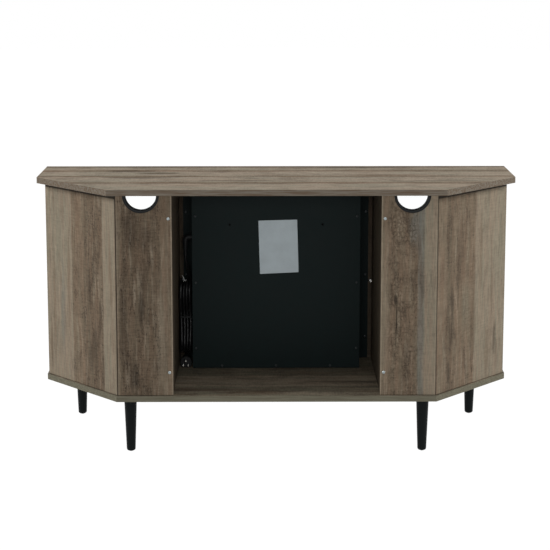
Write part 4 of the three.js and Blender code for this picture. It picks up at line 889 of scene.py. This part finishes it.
# What sets one kind of board apart, and the hardware that belongs to its solid. The dividers' dark tones and
# low gain are painted shade on the cavity's walls
boardTones = {"divider": ("umber", "dark", "dark")}
boardExtras = {
    "divider": {"gain": 0.52},
    # The inner stiles' and the bottom rail's rear faces are darkened by painted shade
    "inner_stile": {"paintedRearShadeGain": 0.35},
    "bottom_rail": {"paintedRearShadeGain": 0.3},
    "bottom_panel": {"edgeTones": ("moss", "olive"), "coarse": (1.7, 1.2), "marks": [
        (325, 200, 18, 140, "dark", 0.75), (290, 50, 10, 220, "pale", 0.6),
        (255, -200, 13, 130, "dark", 0.7), (355, -120, 14, 160, "greige", 0.5),
        (350, 60, 16, 100, "umber", 0.6), (335, -240, 14, 70, "umber", 0.5),
    ]},
}
metalParts = {}
sides = (("left", -1), ("right", 1))
for side, sign in sides:
    boards[f"{side}_side_panel"] = [rearward, upward, -170, 160, 24 + sign]
    boards[f"{side}_divider"] = [rearward, upward, -170, 340, 28 + sign]
    boards[f"{side}_inner_stile"] = [sideward, upward, sign * 248 - 30, 60, 32 + sign]
    boards[f"{side}_outer_stile"] = [sideward, upward, sign * 571 - 20, 40, 36 + sign]
    boards[f"{side}_shelf"] = [rearward, sideward, -160, 330, 40 + sign]
    boards[f"{side}_door_frame"] = [sideward, upward, sign * 412.8 - 140, 280, 44 + sign]
    metalParts[f"{side}_side_panel"] = [(0, -sign, -575.95)]
    metalParts[f"{side}_divider"] = [(0, sign, 272.05)]
    metalParts[f"{side}_door_frame"] = [(1, -1, 177.42), (1, 1, -162.28), (0, sign, 547.86)]
for name, (across, along, start, width, seed) in boards.items():
    kind = name if name == "bottom_panel" else name.split("_", 1)[1]
    tones = boardTones.get(kind, ("greige", "brown", "greige"))
    bands = [(0, width * 0.3, tones[0], 0.1), (width * 0.3, width * 0.72, tones[1], 0.5),
             (width * 0.72, width, tones[2], 0.2)]
    if kind == "bottom_panel":
        bands = [(0, 200, "moss", 0.8), (200, 290, "greige", 0.5), (290, 380, "moss", 0.8)]
    extras = {"gain": 0.92, "metal": metalParts.get(name, ()), **boardExtras.get(kind, {})}
    dress(name, oakFinish("oak_" + name, across, along, start, width, bands, seed=seed, **extras))
for name in nodes:
    if name.endswith(("_panel", "_divider", "_stile", "_shelf", "_rail")):
        ease(nodes[name], 0.0006)
print("boards finished")

# Legs, turned smooth, with a glide under each
legFacts = {"foot": 11.1, "top": 15.7, "height": 135.7, "tipRound": 5, "glide": 5, "glideHeight": 1.2,
            "bolt": 4, "boltTop": 148, "tipSteps": 8, "taperSteps": 12}
legPlaces = {"front_left_leg": (-523, -148.35), "front_right_leg": (523, -148.35),
             "rear_left_leg": (-365, 151.65), "rear_right_leg": (365, 151.65)}


def legProfile(facts):
    foot, top, height, glide, bolt = [facts[key] for key in ("foot", "top", "height", "glide", "bolt")]
    low, tip = facts["glideHeight"], facts["tipRound"]
    profile = [(0.4, 0), (glide - 0.3, 0), (glide, 0.3), (glide, low)]
    for step in range(facts["tipSteps"] + 1):
        angle = pi / 2 * step / facts["tipSteps"]
        profile.append((foot - tip * (1 - sin(angle)), low + tip * (1 - cos(angle))))
    for step in range(1, facts["taperSteps"] + 1):
        share = step / facts["taperSteps"]
        profile.append((foot + (top - foot) * share, low + tip + (height - 0.8 - low - tip) * share))
    return profile + [(top - 0.3, height - 0.2), (top - 1, height), (bolt, height),
                      (bolt, facts["boltTop"] - 1), (bolt - 1, facts["boltTop"])]


for name, (x, y) in legPlaces.items():
    placeTurned(name + "_turned", legProfile(legFacts), (x, y, 0), upward, 64, "blackLacquer", "black_paint",
                replaces=[name], smooth=50)
print("legs turned")

# Half-round cable rings: a rolled lip on the board's face and a sleeve through the notch
ringX = 331
ringFacts = {"z": 655.7, "bore": 38, "sleeve": 39.7, "lip": 45, "face": 181.95, "depth": 15,
             "steps": 48}


def makeRing(name, x, z, bore, sleeve, lip, face, depth, steps):
    inner = face - depth
    section = [(bore + 0.4, inner), (sleeve - 0.4, inner), (sleeve, inner + 0.4), (sleeve, face),
               (lip - 0.2, face), (lip, face + 0.3), (lip, face + 0.9), (lip - 0.5, face + 1.5),
               (lip - 1.4, face + 1.9), (lip - 2.6, face + 2), (bore + 1.6, face + 2),
               (bore + 0.6, face + 1.6), (bore, face + 0.8), (bore, face - 1), (bore, inner + 0.4)]
    form = bmesh.new()
    addLoft(form, [[(x + radius * cos(angle), y, z + radius * sin(angle)) for radius, y in section]
                   for angle in (pi + pi * step / steps for step in range(steps + 1))])
    place(name + "_moulded", form, "blackMoulding", "black_plastic", replaces=[name], smooth=40)


for side, sign in sides:
    makeRing(f"{side}_cable_ring", sign * ringX, **ringFacts)

# Screws: pan heads with a cross recess, on their shanks. A head's profile is in shares of radius and height.
screwFacts = {
    "board": {"radius": 4, "height": 1.7, "shank": 1.95, "length": 30},
    "flange": {"radius": 3.7, "height": 2, "shank": 1.9, "length": 11.5},
    "cover": {"radius": 3.3, "height": 1.7, "shank": 1.5, "length": 6},
}
headProfile = [(0.98, 0), (1, 0.12), (0.985, 0.4), (0.9, 0.72), (0.76, 0.92)]
headProfile += [(share, 1) for share in (0.6, 0.52, 0.46, 0.4, 0.34, 0.28, 0.22, 0.16, 0.1, 0.04)]
crossReach, crossHalf = 0.5, 0.13


def addScrew(form, at, facts, turn):
    radius, height, shank, length = [facts[key] for key in ("radius", "height", "shank", "length")]
    axis, side, up = frameAlong(rearward)
    profile = [(shank * 0.3, -length), (shank, -length + shank * 1.5), (shank, 0)]
    profile += [(radius * wide, height * tall) for wide, tall in headProfile]
    rings = []
    for ringRadius, distance in profile:
        ring = []
        for angle in turns(48):
            u, v = [abs(ringRadius * wave(angle + turn)) for wave in (cos, sin)]
            sunk = 0
            if distance == height and max(u, v) < radius * crossReach and min(u, v) < radius * crossHalf:
                sunk = height * (0.85 - max(u, v) / radius * 0.9)
            spoke = side * cos(angle) + up * sin(angle)
            ring.append(Vector(at) + axis * (distance - sunk) + spoke * ringRadius)
        rings.append(ring)
    addLoft(form, rings)


def makeScrews(name, kind, places, finish, slot):
    form = bmesh.new()
    for index, at in enumerate(places):
        addScrew(form, at, screwFacts[kind], 0.5 + index * 1.1)
    place(name, form, finish, slot, smooth=40)


def mirrored(x, y, heights):
    return [(sign * x, y, z) for side, sign in sides for z in heights]


makeScrews("boardScrews", "board", mirrored(264.5, 181.68, (210.3, 596.7)), "zincPlate", "steel")
makeScrews("flangeScrews", "flange", mirrored(240.5, -160.52, (209.8, 380.8, 551.8)), "darkScrew",
           "black_paint")
coverFace = -50.22
makeScrews("coverScrews", "cover", mirrored(210, coverFace, (208, 384, 560)) + [
    (x, coverFace, z) for x in (-142, 0, 142) for z in (160.6, 621.4)], "blackScrew", "black_paint")
print("rings and screws placed")


# A flat plate with rounded corners, whose outline is given as points around it
def addSheet(form, corners, radius, lift):
    points = []
    for index, corner in enumerate(corners):
        at = Vector(corner)
        first, second = [at + (Vector(corners[beside % len(corners)]) - at).normalized() * radius
                         for beside in (index - 1, index + 1)]
        for step in range(7):
            share = step / 6
            points.append(first * (1 - share) ** 2 + at * (2 * share * (1 - share)) + second * share ** 2)
    centre = sum(points, Vector()) / len(points)
    inner = [point + (centre - point).normalized() * lift.length * 0.5 for point in points]
    addLoft(form, [points, [point + lift * 0.6 for point in points], [point + lift for point in inner]])


plateFacts = {"corners": [(45.8, coverFace, 548.3), (-54.7, coverFace, 551), (-58.6, coverFace, 411.8),
                          (41.9, coverFace, 407.1)],
              "corner": 2, "thickness": 0.3}
form = bmesh.new()
addSheet(form, plateFacts["corners"], plateFacts["corner"], Vector(rearward) * plateFacts["thickness"])
place("coverPlate", form, "foilPlate", "black_paint")

# A nickel cap on the back of the left stile
capProfile = [(1, 0), (5, 0), (5.3, 0.4), (5.2, 1.4), (4.5, 2), (3.5, 1.8), (2.8, 1.2), (2.5, 0.3),
              (0.6, 0.2)]
placeTurned("stileCap", capProfile, (-253, -162.3, 364.6), rearward, 40, "nickel", "steel")

# Door knobs: a turned neck and a domed head
knobFacts = {"x": 297, "z": 403.5, "face": -177.65}
knobProfile = [(2, 12), (2, 0.2), (6.4, 0), (6.6, -0.4), (6.2, -1.2), (5.9, -3), (5.6, -5.2),
               (5.9, -7.2), (7.2, -9.2), (9.4, -10.8), (11.2, -12.2), (11.9, -13.8), (12, -15.2),
               (11.8, -17.4), (11.2, -19.2), (10, -20.6), (8, -21.5), (5, -21.9), (2, -22), (0.5, -22)]
for side, sign in sides:
    placeTurned(f"{side}_door_knob_turned", knobProfile,
                (sign * knobFacts["x"], knobFacts["face"], knobFacts["z"]), rearward, 64, "nickel", "steel",
                body=f"{side}_door", replaces=[f"{side}_door_knob"], smooth=60)

# Hinges: knuckles on the stile and on the door, the pin and the fixed leaf
hingeFacts = {"x": 549.4, "y": -181.15, "knuckle": 16.27, "gap": 0.6, "radius": 3.5, "doorExtra": 0.12,
              "leaf": (0.3, 1.3), "pin": [(0.6, 8), (1.5, 8), (1.5, 42), (0.6, 42)], "height": 50}
hingeLows = {"lower": 223.3, "upper": 533.7}


def knuckleProfile(low, high, radius):
    return [(radius - 0.5, low), (radius - 0.1, low + 0.15), (radius, low + 0.5), (radius, high - 0.5),
            (radius - 0.1, high - 0.15), (radius - 0.5, high)]


def makeHinge(side, sign, level, low, facts):
    x, y, tall, radius = sign * facts["x"], facts["y"], facts["knuckle"], facts["radius"]
    lows = [low + index * (tall + facts["gap"]) for index in range(3)]
    near, far = sorted(x + sign * out for out in facts["leaf"])
    form = bmesh.new()
    for start in (lows[0], lows[2]):
        addTurned(form, knuckleProfile(start, start + tall, radius), (x, y, 0), upward, 32)
    addTurned(form, [(r, low + z) for r, z in facts["pin"]], (x, y, 0), upward, 20)
    for front, back, bottom, top in ((y, y + 5, lows[0], lows[0] + tall), (y, y + 5, lows[2], lows[2] + tall),
                                     (y + 3.8, y + 14.8, low, low + facts["height"])):
        addLoft(form, [[(px, py, pz) for px, py in ((near, front), (far, front), (far, back), (near, back))]
                       for pz in (bottom, top)])
    place(f"{side}_{level}_hinge_rolled", form, "nickel", "steel", replaces=[f"{side}_{level}_hinge"])
    profile = knuckleProfile(lows[1], lows[1] + tall, radius + facts["doorExtra"])
    placeTurned(f"{side}_{level}_door_knuckle", profile, (x, y, 0), upward, 32, "nickel", "steel",
                body=f"{side}_door")


for side, sign in sides:
    for level, low in hingeLows.items():
        makeHinge(side, sign, level, low, hingeFacts)
print("door hardware placed")

# Push buttons with a dished face
buttonFacts = {"power": 132, "heat": 158, "flame": 184}
buttonFront, controlsZ = -181.35, 596.6
buttonProfile = [(0.6, 0.45), (2.6, 0.35), (4, 0.05), (4.5, 0), (4.9, 0.25), (5, 0.7), (5, 6.3),
                 (6.6, 6.3), (6.6, 7.9), (5, 7.9), (5, 11.6), (4.6, 12), (0.6, 12)]
for name, x in buttonFacts.items():
    placeTurned(name + "_button_moulded", buttonProfile, (x, buttonFront, controlsZ), rearward, 48,
                "blackMoulding", "black_plastic", body=name + "_push", replaces=[name + "_button"], smooth=40)


# A block with its edges broken
def addBlock(form, low, high, edge):
    (x0, y0, z0), (x1, y1, z1) = low, high

    def ring(inset, z):
        a, b, c, d, e = x0 + inset, x1 - inset, y0 + inset, y1 - inset, edge
        return [(x, y, z) for x, y in (
            (a + e, c), (b - e, c), (b, c + e), (b, d - e), (b - e, d), (a + e, d), (a, d - e), (a, c + e))]

    addLoft(form, [ring(edge * 0.7, z0), ring(edge * 0.2, z0 + edge * 0.3), ring(0, z0 + edge),
                   ring(0, z1 - edge), ring(edge * 0.2, z1 - edge * 0.3), ring(edge * 0.7, z1)])


# Ember bed: a tray of broken lumps, with the larger ones in a row
emberFacts = {"half": 214.5, "front": -149.45, "back": -105.95, "low": 156.8, "top": 176.5, "columns": 260,
              "rows": 30, "ground": 174.2, "ceiling": 192.4}
# Broken cells in the ground: size, seed, height and how much of the height is used
cellFacts = [(11, 0.3, 5.2, 0.6), (4.5, 4.1, 1.5, 0.5)]
lumpFacts = {"count": 13, "radii": (15.8, 12.3, 12.3), "places": (-131.05, -122.77), "pitch": 32.42}


def emberHeight(x, y):
    height = emberFacts["ground"]
    for size, seed, tall, most in cellFacts:
        near = noise.voronoi(Vector((x / size, y / size, seed)))[0]
        height += tall * min(near[1] - near[0], most)
    for index in range(lumpFacts["count"]):
        radius = lumpFacts["radii"][index % 3]
        dx = x - (index - 6) * lumpFacts["pitch"]
        dy = y - lumpFacts["places"][index % 2]
        ragged = 1 + 0.1 * noise.noise(Vector((x / 6, y / 6, index * 3.7)))
        span = radius * radius - (dx * dx + dy * dy) * ragged
        if span > 0:
            rough = 0.9 * noise.noise(Vector((x / 3, y / 3, index))) - 0.9
            height = max(height, emberFacts["top"] + span ** 0.5 + rough)
    return min(height, emberFacts["ceiling"])


def makeEmbers(facts):
    form = bmesh.new()
    rows, columns = facts["rows"], facts["columns"]
    grid = []
    for row in range(rows + 1):
        y = facts["front"] + (facts["back"] - facts["front"]) * row / rows
        line = []
        for column in range(columns + 1):
            x = -facts["half"] + 2 * facts["half"] * column / columns
            atEdge = row in (0, rows) or column in (0, columns)
            line.append(form.verts.new((x, y, facts["top"] if atEdge else emberHeight(x, y))))
        grid.append(line)
    for first, second in zip(grid, grid[1:]):
        for column in range(columns):
            form.faces.new((first[column], first[column + 1], second[column + 1], second[column]))
    rim = grid[0] + [line[-1] for line in grid[1:]] + grid[-1][-2::-1] + [line[0] for line in grid[-2:0:-1]]
    under = [form.verts.new((vert.co.x, vert.co.y, facts["low"])) for vert in rim]
    joinRings(form, under, rim)
    form.faces.new(under)
    place("ember_bed_cast", form, emberFinish(emberLook), "ember", replaces=["ember_bed"], smooth=60)


makeEmbers(emberFacts)

# Logs: barked, with cut ends, each from its thick end to its thin one: [from, to, radius, seed]
logFacts = [
    [(-167.3, -126.45, 198.5), (21.45, -120.93, 200.9), 13, 1],
    [(-4.3, -131.05, 199.7), (171.6, -122.77, 197.3), 12.35, 2],
    [(-111.5, -132.89, 211.7), (-4.3, -119.09, 227.3), 9.36, 3],
    [(120.1, -131.97, 210.5), (12.87, -119.09, 229.7), 8.84, 4],
]
logTaper = 0.15
cutEnd = [(0.12, 0.6), (0.35, 0.3), (0.5, 0.7), (0.68, 0.2), (0.84, 0.5), (0.93, 0)]


def addLog(form, start, end, thick, seed):
    start, reach = Vector(start), Vector(end) - Vector(start)
    axis, side, up = frameAlong(reach)
    length = reach.length
    stations = max(24, round(length / 2.6))

    def ringAt(way, share, dish=0):
        centre = start + axis * (length * way + dish)
        centre += up * (1.3 * noise.noise(Vector((way * 3, seed, 0.5))))
        radius = thick * (1 - logTaper * way) * share
        ring = []
        for angle in turns(56):
            x, y = cos(angle), sin(angle)
            bark = noise.fractal(Vector((x * 1.6, y * 1.6, way * length / 45 + seed * 9)), 0.9, 2, 4)
            ridge = abs(noise.noise(Vector((x * 4.2, y * 4.2, way * length / 30 + seed))))
            depth = radius * (0.97 + 0.06 * bark) - 1.5 * (0.5 - min(ridge, 0.5)) * share
            ring.append(centre + (side * x + up * y) * depth)
        return ring

    rings = [ringAt(0, share, dish) for share, dish in cutEnd]
    rings += [ringAt(station / stations, 1) for station in range(stations + 1)]
    rings += [ringAt(1, share, -dish) for share, dish in cutEnd[::-1]]
    addLoft(form, rings)


form = bmesh.new()
for facts in logFacts:
    addLog(form, *facts)
place("log_set_barked", form, barkFinish(barkLook), "log", replaces=["log_set"], smooth=50)
print("logs and embers cast")

# Flame rotor: a shaft with twisted foil vanes
rotorFacts = {"y": -78.05, "z": 214.5, "half": 195.7, "vanes": 12, "width": 28, "length": 24, "thick": 0.5,
              "turn": 67, "twist": 38, "bow": 0.64, "stations": 12,
              "shaft": [(1.8, -198.7), (2.5, -198), (2.5, 198), (1.8, 198.7)]}


def addVane(form, index, y, z, half, vanes, width, length, thick, turn, twist, bow, stations, **others):
    pitch = 2 * (half - width) / (vanes - 1)
    centreX = width - half + index * pitch
    rings = []
    for station in range(stations + 1):
        across = station / stations - 0.5
        angle = radians(index * turn + across * twist)
        along = Vector((0, -sin(angle), cos(angle)))
        flat = Vector((0, cos(angle), sin(angle)))
        tip = length / 2 * (1 - 0.25 * (2 * across) ** 4)
        at = Vector((centreX + across * width, y, z))
        rings.append([at + along * (reach * tip)
                      + flat * (bow * (1 - reach * reach) + face * thick / 2)
                      for face in (-1, 1) for reach in (-face * (step / 4 - 1) for step in range(9))])
    addLoft(form, rings)


form = bmesh.new()
addTurned(form, rotorFacts["shaft"], (0, rotorFacts["y"], rotorFacts["z"]), sideward, 24)
for index in range(rotorFacts["vanes"]):
    addVane(form, index, **rotorFacts)
place("flame_rotor_foils", form, "rotorFoil", "steel", body="flame_spindle", replaces=["flame_rotor"],
      smooth=40)

motorProfile = [
    (6, 0), (20.5, 0), (21.8, 0.6), (22, 1.4), (22, 7), (21.2, 7.6), (21.2, 8.6), (22, 9.2), (22, 16.2),
    (21.4, 17.3), (20.2, 17.7), (10, 17.7), (9.4, 17.9), (9, 18.4), (9, 20), (8.4, 20.7), (3.2, 20.7),
    (2.9, 20.2), (2.9, 17), (1.4, 17),
]
placeTurned("rotor_motor_can", motorProfile, (-216.7, rotorFacts["y"], rotorFacts["z"]), sideward, 48,
            "zincPlate", "steel", replaces=["rotor_motor"])

# Blower wheel: three discs and a cage of curved blades
wheelFacts = {
    "x": -55, "y": -92.05, "z": 587.5, "half": 120, "blades": 32, "disc": 1,
    "discProfile": [(1, -1), (8, -1), (9, -0.6), (19.2, -0.6), (20.6, -1), (21, -0.7), (21, 0.7),
                    (20.6, 1), (19.2, 0.6), (9, 0.6), (8, 1), (1, 1)],
    "shaft": [(2.2, -122.2), (3, -121.4), (3, 121.4), (2.2, 122.2)],
    "bladeRoot": 15.4, "bladeDepth": 5, "lean": 0.34, "bladeHalf": 0.25,
}


def makeWheel(facts):
    x, y, z = facts["x"], facts["y"], facts["z"]
    form = bmesh.new()
    for step in (-1, 0, 1):
        at = (x + step * (facts["half"] - facts["disc"]), y, z)
        addTurned(form, facts["discProfile"], at, sideward, 64)
    addTurned(form, facts["shaft"], (x, y, z), sideward, 24)
    ends = (x - facts["half"] + 1, x + facts["half"] - 1)
    for base in turns(facts["blades"]):
        section = []
        for face, ways in ((1, (0, 0.25, 0.5, 0.75, 1)), (-1, (1, 0.75, 0.5, 0.25, 0))):
            for way in ways:
                radius = facts["bladeRoot"] + facts["bladeDepth"] * way
                lean = base + facts["lean"] * way * way + face * facts["bladeHalf"] / radius
                section.append((y + radius * cos(lean), z + radius * sin(lean)))
        addLoft(form, [[(end, *point) for point in section] for end in ends])
    place("blower_wheel_cage", form, "nickel", "steel", body="blower", replaces=["blower_wheel"], smooth=30)


makeWheel(wheelFacts)
canProfile = [(5, -0.4), (9, -0.4), (9.5, 0.4), (15.5, 0.6), (19.2, 1.6), (20.3, 3)]
for groove in (10, 15.4, 20.8):
    canProfile += [(20.3, groove), (19.4, groove + 0.6), (19.4, groove + 2), (20.3, groove + 2.6)]
canProfile += [(20.3, 37.6), (12, 37.7)]
placeTurned("blowerMotorCan", canProfile, (-215.3, wheelFacts["y"], wheelFacts["z"]), sideward, 48,
            "zincPlate", "steel")

# Heater: folded foil between the ceramic bars
heaterFacts = {"left": -172, "width": 234, "bays": 16, "gap": 1.2, "front": -139.05, "back": -129.05,
               "low": 547.6, "high": 585, "folds": 30, "foil": 0.25}


def addFolds(form, bay, left, width, bays, gap, front, back, low, high, folds, foil):
    span = width / bays
    left = left + bay * span + gap
    right = left + span - 2 * gap
    count = folds + 1
    rise = (high - low) / folds
    points = [(left if fold % 2 else right, low + rise * fold) for fold in range(count)]
    outline = points + [(x, z + foil) for x, z in reversed(points)]
    front, back = ([form.verts.new((x, y, z)) for x, z in outline] for y in (front, back))
    joinRings(form, front, back)
    for index in range(count - 1):
        opposite = 2 * count - 2 - index
        form.faces.new((front[index], front[opposite + 1], front[opposite], front[index + 1]))
        form.faces.new((back[index], back[index + 1], back[opposite], back[opposite + 1]))


form = bmesh.new()
for bay in range(heaterFacts["bays"]):
    addFolds(form, bay, **heaterFacts)
place("heaterFoil", form, "heaterFin", "steel", smooth=20)

# Parts on the control board: blocks as [x, z, width, height, depth] and cans as [x, z, radius, height]
boardFront, switchHalf = -164.6, 3
blocks = [(121, 586, 6, 9, 5.5), (145, 606, 9, 5, 4), (171, 585, 8, 8, 3), (171, 607, 12, 5, 6)]
cans = [(143, 586, 3.2, 8), (151, 586.5, 2.6, 7), (194, 607, 2.6, 7.5), (122, 606, 2.2, 6)]
form = bmesh.new()
for x in buttonFacts.values():
    addBlock(form, (x - switchHalf, boardFront - 2.9, controlsZ - switchHalf),
             (x + switchHalf, boardFront + 0.1, controlsZ + switchHalf), 0.4)
for x, z, width, height, deep in blocks:
    addBlock(form, (x - width / 2, boardFront - deep, z - height / 2),
             (x + width / 2, boardFront + 0.1, z + height / 2), 0.5)
place("boardParts", form, "blackMoulding", "circuit")
form = bmesh.new()
for x, z, radius, tall in cans:
    addTurned(form, [(radius * 0.5, 0), (radius - 0.2, 0), (radius, 0.3), (radius, tall - 1.6),
                     (radius - 0.3, tall - 1.3), (radius, tall - 0.9), (radius - 0.3, tall),
                     (radius * 0.3, tall - 0.2)], (x, boardFront + 0.1, z), (0, -1, 0), 28)
place("boardCans", form, "zincPlate", "circuit")

# The solids that keep their shape get their own finishes; an eased width of zero leaves the edges sharp
paneGlass = glassFinish(glassFacts)
carried = {
    "insert_casing": ["blackCoat", 0.0003], "insert_back_cover": ["blackCoat", 0.0003],
    "blower_housing": ["blackCoat", 0], "insert_front_frame": ["blackLacquer", 0.0003],
    "left_door_catch": ["blackMoulding", 0.0003], "right_door_catch": ["blackMoulding", 0.0003],
    "control_board": ["circuitGreen", 0], "heater_element": ["heaterCeramic", 0.0003],
    "left_door_glass": [paneGlass, 0.0004], "right_door_glass": [paneGlass, 0.0004],
    "insert_glass": [paneGlass, 0.0004], "flame_screen": ["smokedSheet", 0],
}
for name, (finish, eased) in carried.items():
    dress(name, plainFinish(finish) if isinstance(finish, str) else finish)
    if eased:
        ease(nodes[name], eased)
print("insert finished")
